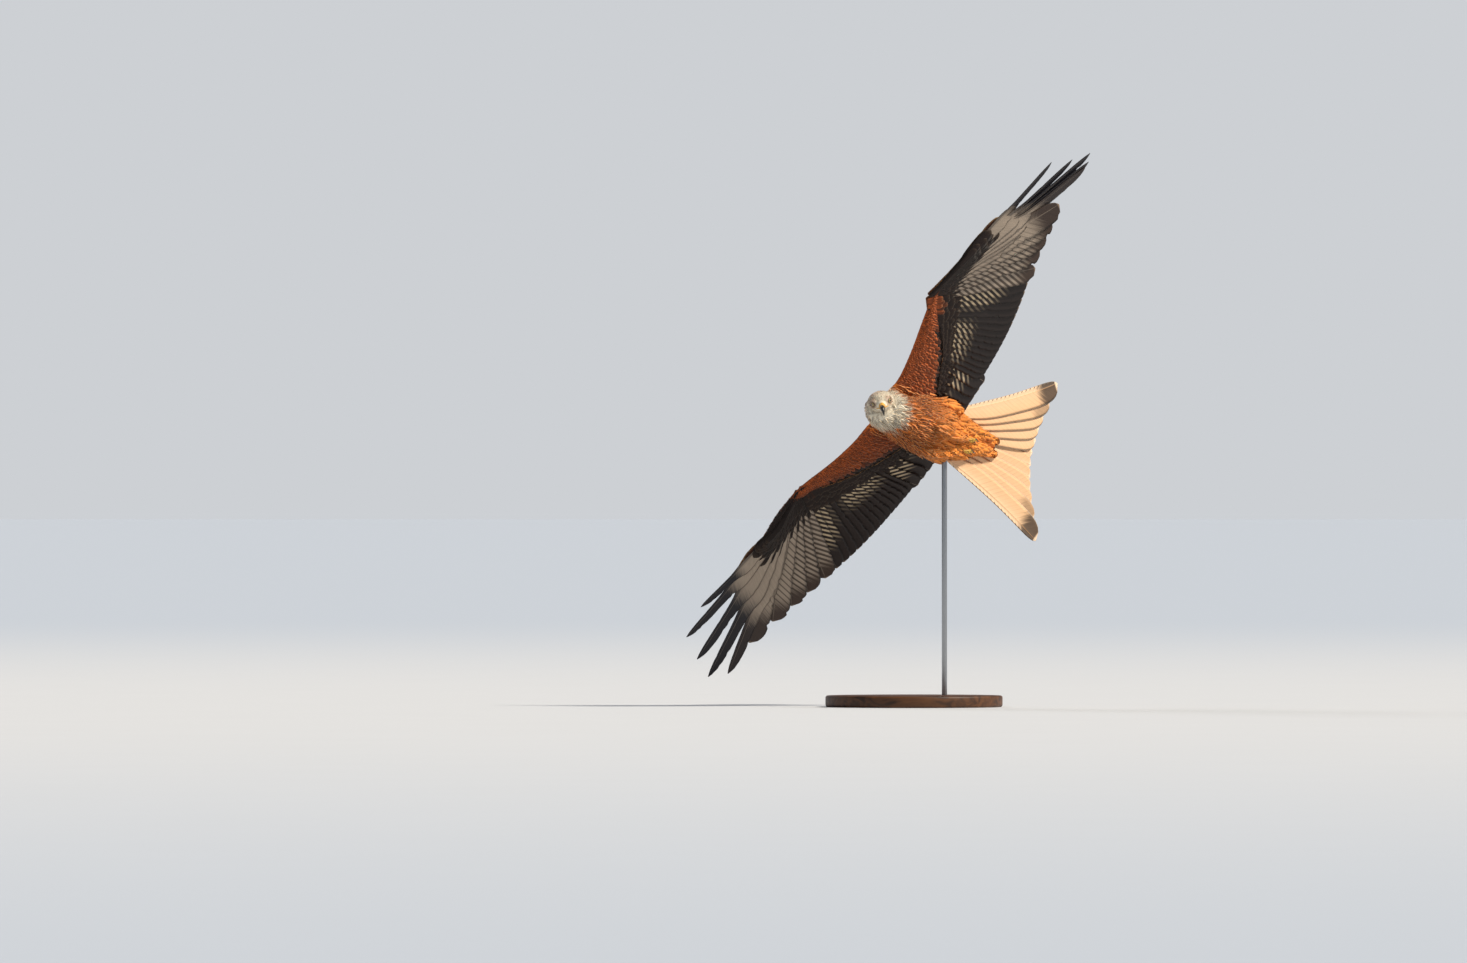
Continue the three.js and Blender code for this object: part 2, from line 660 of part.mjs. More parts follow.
function footSolid(sign, grow = 0) {
  const pieces = [limb(tarsusStops(sign), 8, grow)];
  const ankle = V(...tarsusStops(sign)[2].at);
  for (const toe of TOES) {
    const turn = rad(toe.spread);
    const way = V(Math.sin(turn), -Math.cos(turn), Math.cos(turn) * TOE_RISE).normalize();
    const at = (part, drop) => {
      const p = ankle.clone().addScaledVector(way, toe.length * part);
      return [p.x, p.y, p.z - drop];
    };
    pieces.push(limb([
      { at: at(0, 0), r: toe.r },
      { at: at(0.5, 2.5), r: toe.r },
      { at: at(0.95, 2.5), r: toe.r * 0.8 },
      { at: at(1.15, 5), r: 1.5 },
      { at: at(1.26, 9.5), r: 0.4 },
    ], 6, grow));
  }
  return fuse(pieces);
}

// Stand: a round base and one upright rod that runs into the right flank

const BASE_RADIUS = 200;
const BASE_HEIGHT = 26;
const BASE_EDGE = 6;
const ROD_RADIUS = 6;
const ROD_AT = [69, 26];      // from the base's centre
const ROD_TOP = BIRD_HEIGHT - 66;

const profile = (list) => list.map(([r, z]) => new THREE.Vector2(r, z));

function turnedSolid(list, sides, at = [0, 0, 0]) {
  const turned = new THREE.LatheGeometry(profile(list), sides);
  turned.rotateX(Math.PI / 2);
  turned.translate(...at);
  return solid(turned);
}

function rodSolid(grow = 0) {
  const radius = ROD_RADIUS + grow;
  const foot = BASE_HEIGHT + GAP;
  const top = ROD_TOP + grow;
  const outline = [[0, foot], [radius, foot], [radius, top - 3], [radius - 3, top], [0, top]];
  return turnedSolid(outline, 16, [...ROD_AT, 0]);
}

// The model

const finish = (color, roughness, metalness = 0) =>
  new THREE.MeshStandardMaterial({ color, roughness, metalness });
const rufous = finish(0xa65a26, 0.9);
const palehead = finish(0xc9c2b4, 0.9);
const darkWing = finish(0x2e2622, 0.85);
const paleTail = finish(0xe0b48a, 0.85);
const horn = finish(0x2a2724, 0.45);
const yellow = finish(0xe3ae3c, 0.55);
const eyeGlass = finish(0xc9b25a, 0.15);
const wood = finish(0x4a2f1d, 0.5);
const steel = finish(0x9a9da0, 0.35, 0.9);

// Corners closer than the weld are made one, and faces flatter than the shave go,
// so that no cut leaves a sliver.
const WELD = 0.003;
const SHAVE = 0.02;

function geometryOf(body) {
  const { vertProperties, triVerts } = body.getMesh();
  const geometry = new THREE.BufferGeometry();
  geometry.setAttribute("position", new THREE.BufferAttribute(new Float32Array(vertProperties), 3));
  geometry.setIndex(new THREE.BufferAttribute(new Uint32Array(triVerts), 1));
  return geometry;
}

function meshOf(name, body, material) {
  const shaved = largest(largest(body).simplify(SHAVE));
  const welded = largest(solid(geometryOf(shaved), WELD).simplify(SHAVE));
  const geometry = geometryOf(welded);
  geometry.computeVertexNormals();
  const mesh = new THREE.Mesh(geometry, material);
  mesh.name = name;
  return mesh;
}

const kite = new THREE.Group();
const bird = new THREE.Group();
bird.rotation.set(rad(CLIMB), rad(BANK), rad(HEADING), "ZXY");
bird.position.set(...BIRD_SHIFT, BIRD_HEIGHT);
bird.updateMatrix();
kite.add(bird);

function intoBirdFrame(body) {
  const matrix = bird.matrix.clone().invert();
  return body.transform(matrix.elements);
}

const torsoGrown = torsoSolid(GAP);
const rodGrown = intoBirdFrame(rodSolid(GAP));
bird.add(meshOf("torso", cutClear(torsoSolid(), [rodGrown, headSolid(GAP)]), rufous));

const skull = fuse([headSolid(), ...[-1, 1].flatMap((sign) => [browSolid(sign), lidSolid(sign)])]);
const eyeRoom = [-1, 1].map((sign) => ballSolid(eyeCentre(sign), EYE.radius + GAP));
const headBody = cutClear(skull, [...eyeRoom, gapeSolid()]);
bird.add(meshOf("head", headBody, palehead));
bird.add(meshOf("eye_left", ballSolid(eyeCentre(-1), EYE.radius), eyeGlass));
bird.add(meshOf("eye_right", ballSolid(eyeCentre(1), EYE.radius), eyeGlass));
const nostrils = [nostrilSolid(-1), nostrilSolid(1)];
bird.add(meshOf("cere", cutClear(billPart(CERE, GAP), [headSolid(GAP), ...nostrils]), yellow));
bird.add(meshOf("bill_upper", billPart(HOOK, GAP), horn));
const upperGrown = fuse([billPart(CERE, 0, GAP), billPart(HOOK, 0, GAP)]);
bird.add(meshOf("bill_lower", cutClear(billPart(LOWER_BILL, GAP), [headSolid(GAP), upperGrown]), horn));
bird.add(meshOf("neck", cutClear(limb(NECK, 14), [torsoGrown, headSolid(GAP)]), rufous));

const coneGrown = coneSolid(GAP);
bird.add(meshOf("tail", cutClear(tailSolid(), [torsoGrown, rodGrown]), paleTail));
const tailGrown = tailSolid(GAP);

for (const sign of [-1, 1]) {
  const side = sign < 0 ? "left" : "right";
  const thigh = cutClear(limb(thighStops(sign), 14), [torsoGrown, coneGrown]);
  bird.add(meshOf(`leg_${side}`, thigh, rufous));
  const foot = cutClear(footSolid(sign), [torsoGrown, tailGrown, limb(thighStops(sign), 14, GAP)]);
  bird.add(meshOf(`foot_${side}`, foot, yellow));
}

function feathered(wing, core, kinds, grow = 0) {
  const feathers = flightFeathers(wing).filter((feather) => kinds.includes(feather.kind));
  const vanes = [...feathers, ...coverts(feathers)].map((one) => wingVane(wing, one, grow));
  return fuse([core(wing, grow), ...vanes]);
}

for (const wing of [LEFT, RIGHT]) {
  const hand = (grow) => feathered(wing, handCore, ["primary"], grow);
  const arm = (grow) => feathered(wing, armCore, ["secondary", "tertial"], grow);
  const near = [hand(GAP), torsoGrown, tailGrown];
  bird.add(meshOf(`wing_${wing.name}_hand`, cutClear(hand(), [armCore(wing, GAP)]), darkWing));
  bird.add(meshOf(`wing_${wing.name}_arm`, cutClear(arm(), near), darkWing));
}

const baseOutline = [
  [0, 0],
  [BASE_RADIUS - 2, 0],
  [BASE_RADIUS, 2],
  [BASE_RADIUS, BASE_HEIGHT - BASE_EDGE],
  [BASE_RADIUS - BASE_EDGE, BASE_HEIGHT],
  [0, BASE_HEIGHT],
];
kite.add(meshOf("stand_base", turnedSolid(baseOutline, 40), wood));
kite.add(meshOf("stand_rod", rodSolid(), steel));

export default kite;
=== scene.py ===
# %% [markdown]
# # A red kite on a museum stand
# A life-size red kite glides in a steep bank, with its head turned down to look at the ground.
# One steel rod on a round wooden base carries it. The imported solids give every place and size,
# and this lesson dresses them: the flight feathers, a skin of flesh and the coat that grows on it,
# the coverts and the tail, and then the eyes, the bill, the feet and the stand.

# %% Load the frame
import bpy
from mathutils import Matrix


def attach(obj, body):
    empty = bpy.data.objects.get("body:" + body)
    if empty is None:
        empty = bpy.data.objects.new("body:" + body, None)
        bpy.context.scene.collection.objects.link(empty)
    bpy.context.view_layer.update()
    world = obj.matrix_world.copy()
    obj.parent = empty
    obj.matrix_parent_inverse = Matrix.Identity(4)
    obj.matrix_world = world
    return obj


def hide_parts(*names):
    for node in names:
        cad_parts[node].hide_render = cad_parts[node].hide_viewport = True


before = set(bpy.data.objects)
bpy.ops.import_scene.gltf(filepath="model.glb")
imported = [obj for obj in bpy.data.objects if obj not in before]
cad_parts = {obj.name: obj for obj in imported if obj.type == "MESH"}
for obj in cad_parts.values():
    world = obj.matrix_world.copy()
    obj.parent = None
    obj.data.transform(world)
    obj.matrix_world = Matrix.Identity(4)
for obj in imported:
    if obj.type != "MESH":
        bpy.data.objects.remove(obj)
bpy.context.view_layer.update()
print("solids", sorted(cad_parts))

# %% [markdown]
# ## The bird's own frame
# A bird in a bank is awkward to model: nothing lies along the scene's axes. So every piece is
# modelled in the bird's own frame, in millimetres, with X to its right, Y towards its head and
# Z out of its back. One matrix then turns each finished mesh into the pose.

# %% The matrix from the bird to the scene
import math

import bmesh
import bpy
import numpy as np
from mathutils import Matrix, Vector, kdtree
from mathutils.bvhtree import BVHTree

HEADING, CLIMB, BANK = 118, 15, 59
BIRD_HEIGHT = 0.65
MM = 0.001
TO_SCENE = (
    Matrix.Translation((0, 0, BIRD_HEIGHT))
    @ Matrix.Rotation(math.radians(HEADING), 4, "Z")
    @ Matrix.Rotation(math.radians(CLIMB), 4, "X")
    @ Matrix.Rotation(math.radians(BANK), 4, "Y")
    @ Matrix.Scale(MM, 4)
)
print("nose points to", [round(x / MM, 3) for x in TO_SCENE.to_3x3().col[1]])

# %% [markdown]
# ## Small tools for numbers
# Feathers come by the thousand, so their points are worked out in arrays. These helpers blend
# between values, make vectors one long, and run a smooth curve through a few named points.

# %% Array helpers
def unit(v):
    return v / np.maximum(np.linalg.norm(v, axis=-1, keepdims=True), 1e-9)


def step(low, high, x):
    t = np.clip((x - low) / (high - low), 0, 1)
    return t * t * (3 - 2 * t)


def mixed(a, b, t):
    return a + (b - a) * t


def smooth(xs, ys, x):
    """The value at x of a smooth curve through the points, which runs on straight past its ends."""
    xs, ys, x = np.asarray(xs, float), np.asarray(ys, float), np.asarray(x, float)
    last = len(xs) - 1
    before = np.maximum(np.arange(last + 1) - 1, 0)
    after = np.minimum(np.arange(last + 1) + 1, last)
    slope = (ys[after] - ys[before]) / (xs[after] - xs[before])
    i = np.clip(np.searchsorted(xs, x, side="right") - 1, 0, last - 1)
    h = xs[i + 1] - xs[i]
    t = (x - xs[i]) / h
    start = (2 * t**3 - 3 * t**2 + 1) * ys[i] + (t**3 - 2 * t**2 + t) * h * slope[i]
    end = (3 * t**2 - 2 * t**3) * ys[i + 1] + (t**3 - t**2) * h * slope[i + 1]
    low = ys[0] + slope[0] * (x - xs[0])
    high = ys[-1] + slope[-1] * (x - xs[-1])
    return np.where(x < xs[0], low, np.where(x > xs[-1], high, start + end))


def rows(*columns):
    return np.stack(np.broadcast_arrays(*columns), axis=-1).astype(float)


print("a smooth step at a half:", step(0, 1, 0.5))

# %% [markdown]
# ## Paint by nodes
# Every finish is worked out by shader nodes from the piece's own attributes, so nothing slides
# when the camera moves. A few short helpers keep the node trees readable.

# %% Node helpers
def paint(code):
    """A colour written as on a paint card, turned into the scene's linear values."""
    parts = [int(code[k : k + 2], 16) / 255 for k in (1, 3, 5)]
    linear = [c / 12.92 if c <= 0.04045 else ((c + 0.055) / 1.055) ** 2.4 for c in parts]
    return (*linear, 1.0)


def put(socket, value, tree):
    if isinstance(value, bpy.types.NodeSocket):
        tree.links.new(value, socket)
    elif isinstance(value, str):
        socket.default_value = paint(value)
    else:
        socket.default_value = value


def calc(tree, operation, *values):
    node = tree.nodes.new("ShaderNodeMath")
    node.operation = operation
    for socket, value in zip(node.inputs, values):
        put(socket, value, tree)
    return node.outputs[0]


def times(tree, a, b):
    return calc(tree, "MULTIPLY", a, b)


def line(tree, value, slope, start):
    return calc(tree, "MULTIPLY_ADD", value, slope, start)


def between(tree, value, low, high):
    """0 below low and 1 above high, or the other way round where low is the greater."""
    node = tree.nodes.new("ShaderNodeMapRange")
    node.interpolation_type = "SMOOTHSTEP"
    turned = low > high
    put(node.inputs["Value"], value, tree)
    node.inputs["From Min"].default_value = min(low, high)
    node.inputs["From Max"].default_value = max(low, high)
    node.inputs["To Min"].default_value = 1.0 if turned else 0.0
    node.inputs["To Max"].default_value = 0.0 if turned else 1.0
    return node.outputs["Result"]


def mix(tree, share, a, b, blend_type="MIX"):
    node = tree.nodes.new("ShaderNodeMix")
    node.data_type = "RGBA"
    node.blend_type = blend_type
    put(node.inputs[0], share, tree)
    put(node.inputs[6], a, tree)
    put(node.inputs[7], b, tree)
    return node.outputs[2]


def attribute(tree, name):
    node = tree.nodes.new("ShaderNodeAttribute")
    node.attribute_name = name
    return node


def split(tree, name):
    node = tree.nodes.new("ShaderNodeSeparateXYZ")
    tree.links.new(attribute(tree, name).outputs["Vector"], node.inputs[0])
    return node.outputs


def noise(tree, vector, scale, detail=3.0, distortion=0.0):
    node = tree.nodes.new("ShaderNodeTexNoise")
    put(node.inputs["Vector"], vector, tree)
    node.inputs["Scale"].default_value = scale
    node.inputs["Detail"].default_value = detail
    node.inputs["Distortion"].default_value = distortion
    return node.outputs["Fac"]


def together(tree, x, y, z):
    node = tree.nodes.new("ShaderNodeCombineXYZ")
    for socket, value in zip(node.inputs, (x, y, z)):
        put(socket, value, tree)
    return node.outputs[0]


def place(tree):
    return tree.nodes.new("ShaderNodeTexCoord").outputs["Object"]


def dimmed(tree, color, amount):
    """The colour made darker, or brighter where the amount is over one."""
    return mix(tree, 1.0, color, together(tree, amount, amount, amount), "MULTIPLY")


def new_group(name, outputs):
    tree = bpy.data.node_groups.new(name, "ShaderNodeTree")
    for label in outputs:
        tree.interface.new_socket(label, in_out="OUTPUT", socket_type="NodeSocketFloat")
    return tree


def close_group(tree, **values):
    end = tree.nodes.new("NodeGroupOutput")
    for label, value in values.items():
        put(end.inputs[label], value, tree)


def use_group(tree, group):
    node = tree.nodes.new("ShaderNodeGroup")
    node.node_tree = group
    return node.outputs


BUMP_STRENGTH = 0.7


def finish(name, color, roughness, bump=None, depth=0.0, **fixed):
    """A material whose colour and bump come from nodes; fixed holds plain shader values."""
    material = bpy.data.materials.new(name)
    material.use_nodes = True
    tree = material.node_tree
    shader = tree.nodes["Principled BSDF"]
    put(shader.inputs["Base Color"], color(tree), tree)
    shader.inputs["Roughness"].default_value = roughness
    if bump:
        node = tree.nodes.new("ShaderNodeBump")
        node.inputs["Strength"].default_value = BUMP_STRENGTH
        node.inputs["Distance"].default_value = depth
        put(node.inputs["Height"], bump(tree), tree)
        tree.links.new(node.outputs["Normal"], shader.inputs["Normal"])
    for label, value in fixed.items():
        shader.inputs[label.replace("_", " ")].default_value = value
    print("finish", name)
    return material


def speckled(name, scale, dark, light, roughness, grain, depth, detail=3.0, **fixed):
    """A finish of two mingled colours with a finer grain in its bump."""
    def color(tree):
        return mix(tree, noise(tree, place(tree), scale), dark, light)

    def bump(tree):
        return noise(tree, place(tree), grain, detail=detail)

    return finish(name, color, roughness, bump, depth, **fixed)


print("paint works:", [round(c, 3) for c in paint("#808080")[:3]])

# %% [markdown]
# ## Feather texture
# A web is made of hundreds of fine barbs that lean out from the shaft. Each vane has an attribute
# `barb` in millimetres along that lean, so a wave of it draws the barbs, and noise stretched the
# same way breaks them into the soft streaks of a real web. The shaft is a paler or darker line.

# %% The shared feather group
BARB_SPACING = 0.9
SHAFT_SHARE = 0.045
STREAK_SCALE = (0.55, 0.8)


def feather_group():
    tree = new_group("feather texture", ["Barbs", "Streaks", "Shaft", "Seed"])
    barb = attribute(tree, "barb").outputs["Fac"]
    t, w, _ = split(tree, "blade")
    seed = split(tree, "tuft")[2]
    wave = calc(tree, "SINE", times(tree, barb, 2 * math.pi / BARB_SPACING))
    side = calc(tree, "ABSOLUTE", w)
    stretched = together(tree, times(tree, barb, STREAK_SCALE[0]), times(tree, side, STREAK_SCALE[1]), seed)
    streaks = noise(tree, stretched, 1.0, detail=4.0)
    shaft = between(tree, side, SHAFT_SHARE, SHAFT_SHARE * 0.5)
    barbs = line(tree, wave, 0.5, 0.5)
    close_group(tree, Barbs=barbs, Streaks=streaks, Shaft=shaft, Seed=seed)
    return tree


FEATHER = feather_group()


def barb_bump(tree):
    parts = use_group(tree, FEATHER)
    return line(tree, parts["Barbs"], 0.15, parts["Streaks"])


print("groups", [g.name for g in bpy.data.node_groups])

# %% [markdown]
# ## The plumage of the body
# A red kite is rufous orange below, with a dark streak down each breast feather and buff edges.
# The head is pale grey with fine streaks, the vent is golden, and the back has dark centres.
# Each feather and each point of the skin carries two sets of marks, worked out from its place on
# the bird: `mark` is how pale, golden or dark it is, and `tuft` is its streak, edge and seed.

# %% The plumage finish
RUFOUS, GOLDEN, DARK, PALE = "#b6571f", "#f19038", "#120d0b", "#e6dcc6"
STREAK, EDGE = "#3a1a0e", "#f0c488"


def plumage_color(tree):
    pale, golden, dark = split(tree, "mark")
    streak, edge, _ = split(tree, "tuft")
    t, w, _ = split(tree, "blade")
    parts = use_group(tree, FEATHER)
    shade = line(tree, parts["Seed"], 0.5, 0.75)
    base = mix(tree, golden, RUFOUS, GOLDEN)
    base = mix(tree, dark, base, DARK)
    base = mix(tree, pale, base, PALE)
    varied = dimmed(tree, base, shade)
    side = calc(tree, "ABSOLUTE", w)
    rough_side = calc(tree, "ADD", side, line(tree, parts["Streaks"], 0.5, -0.25))
    middle = times(tree, between(tree, rough_side, 0.5, 0.2), between(tree, t, 0.1, 0.4))
    varied = mix(tree, times(tree, middle, streak), varied, STREAK)
    rim = calc(tree, "MAXIMUM", between(tree, rough_side, 0.66, 0.95), between(tree, t, 0.84, 0.98))
    rim = times(tree, rim, edge)
    brighter = mix(tree, 0.4, EDGE, mix(tree, pale, varied, PALE))
    varied = mix(tree, rim, varied, brighter)
    return dimmed(tree, varied, line(tree, parts["Streaks"], 0.7, 0.62))


plumage = finish(
    "plumage", plumage_color, 0.62, barb_bump, 0.0003, Specular_IOR_Level=0.25, Sheen_Weight=0.04
)

# %% [markdown]
# ## A mesh from arrays
# A feather piece is one joined mesh of many thin closed vanes. Beside its shape, each vane
# carries what its material reads, and a map for baking in which a vane is one small patch.

# %% Make a mesh with its attributes
def tell(mesh, **attributes):
    """Gives each point of the mesh the named values that its material reads."""
    for label, values in attributes.items():
        values = np.asarray(values, np.float32)
        kind, key = ("FLOAT", "value") if values.ndim == 1 else ("FLOAT_VECTOR", "vector")
        mesh.attributes.new(label, kind, "POINT").data.foreach_set(key, values.ravel())


def mesh_piece(name, points, faces, material, attributes, bake):
    mesh = bpy.data.meshes.new(name)
    mesh.from_pydata(points, [], faces)
    tell(mesh, **attributes)
    corners = np.zeros(len(mesh.loops), np.int32)
    mesh.loops.foreach_get("vertex_index", corners)
    layer = mesh.uv_layers.new(name="OFBake")
    layer.data.foreach_set("uv", np.asarray(bake, np.float32)[corners].ravel())
    mesh.transform(TO_SCENE)
    mesh.materials.append(material)
    mesh.shade_smooth()
    piece = bpy.data.objects.new(name, mesh)
    bpy.context.scene.collection.objects.link(piece)
    print(name, len(mesh.polygons), "faces")
    return piece


# %% [markdown]
# A vane is a strip of rings along its shaft. Each ring goes from the trailing edge over the upper
# face to the leading edge and back under the lower face, so the vane is closed and thin. The
# shaft is a low ridge down the middle, and the two webs bow down a little towards their edges.

# %% Turn shafts into vanes
BARB_LEAN = 0.9
RIDGE_HALF = 0.03


def vane_faces(stations, ring):
    k, j = np.meshgrid(np.arange(stations - 1), np.arange(ring), indexing="ij")
    a, b = (k * ring + j).ravel(), (k * ring + (j + 1) % ring).ravel()
    walls = np.stack([a, b, b + ring, a + ring], axis=1)
    ends = np.stack([np.arange(ring)[::-1], (stations - 1) * ring + np.arange(ring)])
    return walls, ends


def volumes(points, quads):
    a, b, c, d = (points[:, quads[:, k]] for k in range(4))
    first = np.einsum("fqk,fqk->f", a, np.cross(b, c))
    return first + np.einsum("fqk,fqk->f", a, np.cross(c, d))


def vanes(name, shafts, material, lanes=(-1, 0, 1)):
    """One piece of closed vanes, from arrays that hold each feather station by station."""
    lanes = np.array(lanes, float)
    inner = lanes[1:-1]
    w = np.concatenate([lanes, inner[::-1]])
    face = np.concatenate([[0], np.ones(len(inner)), [0], -np.ones(len(inner))])
    count, stations = shafts["lead"].shape
    ring = len(w)
    reach = np.where(w > 0, w * shafts["lead"][..., None], w * shafts["trail"][..., None])
    ridge = np.where(np.abs(w) < RIDGE_HALF, shafts["ridge"], 0.0)
    height = face * (shafts["thick"][..., None] / 2 + ridge) - shafts["bow"][..., None] * w**2
    points = shafts["at"][:, :, None] + reach[..., None] * shafts["side"][:, :, None]
    points = (points + height[..., None] * shafts["up"][:, :, None]).reshape(count, -1, 3)
    walls, ends = vane_faces(stations, ring)
    turned = volumes(points - points.mean(axis=1, keepdims=True), walls) < 0
    faces = []
    for part in (walls, ends):
        whole = part[None] + (np.arange(count) * stations * ring)[:, None, None]
        whole[turned] = whole[turned][..., ::-1]
        faces += whole.reshape(-1, part.shape[1]).tolist()
    part = np.broadcast_to(shafts["part"], (count, stations))[..., None]
    each = np.ones((count, stations, ring, 1))
    patch = shafts["patch"][:, None, None] * (rows(w * 0.5 + 0 * part, part + 0 * w) - [0, 0.5])
    attributes = dict(
        blade=rows(part, w, face).reshape(-1, 3),
        tuft=(each * shafts["tuft"][:, None, None]).reshape(-1, 3),
        mark=(each * shafts["mark"][:, None, None]).reshape(-1, 3),
        barb=(part * shafts["length"][:, None, None] - np.abs(reach) * BARB_LEAN).reshape(-1),
    )
    bake = (shafts["bake"][:, None, None] + patch).reshape(-1, 2)
    return mesh_piece(name, points.reshape(-1, 3), faces, material, attributes, bake)


# %% [markdown]
# ## Flesh from rings
# The parts of the body are round in section, so each is drawn as a circle, extruded ring after
# ring, with every new ring set on the oval that the body has there.

# %% Sleeves of ovals
def oval(centre, across, upward, wide, up, down, count=24):
    turn = np.linspace(0, 2 * math.pi, count, endpoint=False)
    rise = np.sin(turn) * np.where(np.sin(turn) > 0, up, down)
    return np.asarray(centre) + np.outer(np.cos(turn) * wide, across) + np.outer(rise, upward)


def set_ring(piece, old, new):
    """Moves the ring just extruded from its old places to its new ones."""
    shape = bmesh.from_edit_mesh(piece.data)
    spots = kdtree.KDTree(len(old))
    for k, co in enumerate(old):
        spots.insert(co, k)
    spots.balance()
    for corner in [v for v in shape.verts if v.select]:
        corner.co = new[spots.find(corner.co)[1]]
    bmesh.update_edit_mesh(piece.data)


def sleeve(name, rings):
    bpy.ops.object.select_all(action="DESELECT")
    bpy.ops.mesh.primitive_circle_add(vertices=len(rings[0]), fill_type="NGON")
    piece = bpy.context.object
    piece.name = name
    flat = np.array([v.co for v in piece.data.vertices])
    bpy.ops.object.mode_set(mode="EDIT")
    set_ring(piece, flat, rings[0])
    for old, new in zip(rings, rings[1:]):
        bpy.ops.mesh.extrude_region_move()
        set_ring(piece, old, new)
    bpy.ops.mesh.select_all(action="SELECT")
    bpy.ops.mesh.normals_make_consistent(inside=False)
    bpy.ops.object.mode_set(mode="OBJECT")
    return piece


def through(stops, count):
    """Evenly spaced points on a smooth path through the stops, and how far along it all of them are."""
    stops = np.asarray(stops, float)
    far = np.concatenate([[0], np.cumsum(np.linalg.norm(np.diff(stops, axis=0), axis=1))])
    where = np.linspace(0, far[-1], count)
    return rows(*(smooth(far, column, where) for column in stops.T)), far, where


def along_path(stops, radii, sides, steps):
    """Rings along a smooth path through the stops."""
    points, far, where = through(stops, steps)
    sizes = smooth(far, radii, where)
    heading = unit(np.gradient(points, axis=0))
    across = unit(np.cross([0.3, 0.2, 1.0], heading))
    upward = np.cross(heading, across)
    return [oval(p, a, u, r, r, r, sides) for p, a, u, r in zip(points, across, upward, sizes)]


def join(pieces, name):
    bpy.ops.object.select_all(action="DESELECT")
    for piece in pieces:
        piece.select_set(True)
    bpy.context.view_layer.objects.active = pieces[0]
    bpy.ops.object.join()
    pieces[0].name = name
    pieces[0].data.name = name
    return pieces[0]


def apply(piece, kind, **settings):
    bpy.ops.object.select_all(action="DESELECT")
    piece.select_set(True)
    bpy.context.view_layer.objects.active = piece
    modifier = piece.modifiers.new(kind.title(), kind)
    for label, value in settings.items():
        setattr(modifier, label, value)
    bpy.ops.object.modifier_apply(modifier=modifier.name)


# %% [markdown]
# ## The body's forms
# These are the sizes of the flesh, the same that the solids have, less the depth of the coat.
# The head hangs in front of the breast and looks straight down, so it has a small frame of its
# own: along the look, to the side, and up to the crown.

# %% Sizes of the body
COAT = 4.0
HEAD_COAT = 2.2
TORSO = [
    (84, -5, -8, 41, 32, 33), (68, -3, -12, 51, 39, 44), (40, 1, -16, 57, 40, 53),
    (5, 3, -18, 62, 43, 59), (-35, 7, -18, 64, 42, 56), (-70, 14, -15, 66, 38, 49),
    (-92, 16, -12, 62, 35, 43),
]
TORSO_ROLL, ROLL_FROM = 24, 3
HEAD_CENTRE = np.array([-22.0, 105.0, -18.0])
LOOK = unit(np.array([-0.127, 0.303, -0.944]))
CROWN = unit(np.array([-0.783, 0.553, 0.282]))
HEAD_SIDE = unit(np.cross(LOOK, CROWN))
HEAD = [
    (-36, 10, 9, 12), (-29, 23, 19, 26), (-17, 31, 25, 32), (-5, 33, 27, 31),
    (6, 28, 24.5, 26), (15, 21, 18.5, 19.5), (22, 13.5, 12.5, 14), (26, 9, 9, 10),
]
NECK = [([2, 52, -17], 38), ([5, 82, -13], 39.5), ([-8, 97, -3], 36.5), ([-18, 103, -6], 28)]


def head_point(s, x, u):
    return HEAD_CENTRE + s * LOOK + x * HEAD_SIDE + u * CROWN


EYE = dict(s=11.5, x=17.2, u=4.5, radius=6.4)
EYE_SUNK = 1.4
GAZE_TURN = math.radians(34)
BROW = [(19, 11, 9, 2.8), (12, 17.5, 11, 3.6), (3, 21.5, 10.5, 2.6)]
BILL_FACE = 26


def gaze_of(sign):
    return HEAD_SIDE * sign * math.cos(GAZE_TURN) + LOOK * math.sin(GAZE_TURN)


def eye_centre(sign):
    return head_point(EYE["s"], sign * EYE["x"], EYE["u"]) - EYE_SUNK * gaze_of(sign)


def torso_rings():
    rings = []
    for k, (y, x, z, wide, up, down) in enumerate(TORSO):
        turned = max(0, (k - ROLL_FROM) / (len(TORSO) - 1 - ROLL_FROM))
        roll = math.radians(TORSO_ROLL) * turned**2
        across = np.array([math.cos(roll), 0, -math.sin(roll)])
        upward = np.array([math.sin(roll), 0, math.cos(roll)])
        rings.append(oval((x, y, z), across, upward, wide - COAT, up - COAT, down - COAT))
    return rings


def head_rings():
    return [
        oval(head_point(s, 0, 0), HEAD_SIDE, CROWN, *(size - HEAD_COAT for size in sizes))
        for s, *sizes in HEAD
    ]


print("head frame", HEAD_SIDE.round(2), CROWN.round(2))

# %% [markdown]
# ## The wings' surface
# Each wing is a surface over the bird's plan: u runs out from the midline, v forwards, and the
# height rises towards the tip, because the air lifts the hand. Flight feathers root along the
# hand and the forearm and fan from pointing at the tip to pointing straight back.

# %% Sizes of the wings
STATION_U = [45, 160, 270, 500, 780]
LEFT = dict(
    name="left", sign=-1, finger_bow=0.004, finger_twist=0.4, wrist=(278, 80), elbow=(160, 5), hand_angle=-18,
    primary_angles=[-61, -51.8, -46.1, -42, -38.4, -32.9, -32.3, -30.4, -27.6, -21.4],
    primary_lengths=[248, 257, 271, 285, 305, 388, 392, 396, 346, 299],
    secondary_angles=(-66, -98), secondary_lengths=(234, 142),
    tertial_roots=((150, 4), (66, -14)), tertial_tips=((118, -142), (60, -128)),
    heights=[20, 40, 53, 78, 124], twist=0.062,
    arm_lead=[(44, 84), (70, 73), (138, 70), (186, 73), (244, 77), (276, 78)],
    hand_lead=[(279, 78), (299, 73), (330, 67), (357, 60), (400, 40)],
    arm_back=[(44, -44), (84, -31), (158, -9), (218, 28), (270, 64)],
)
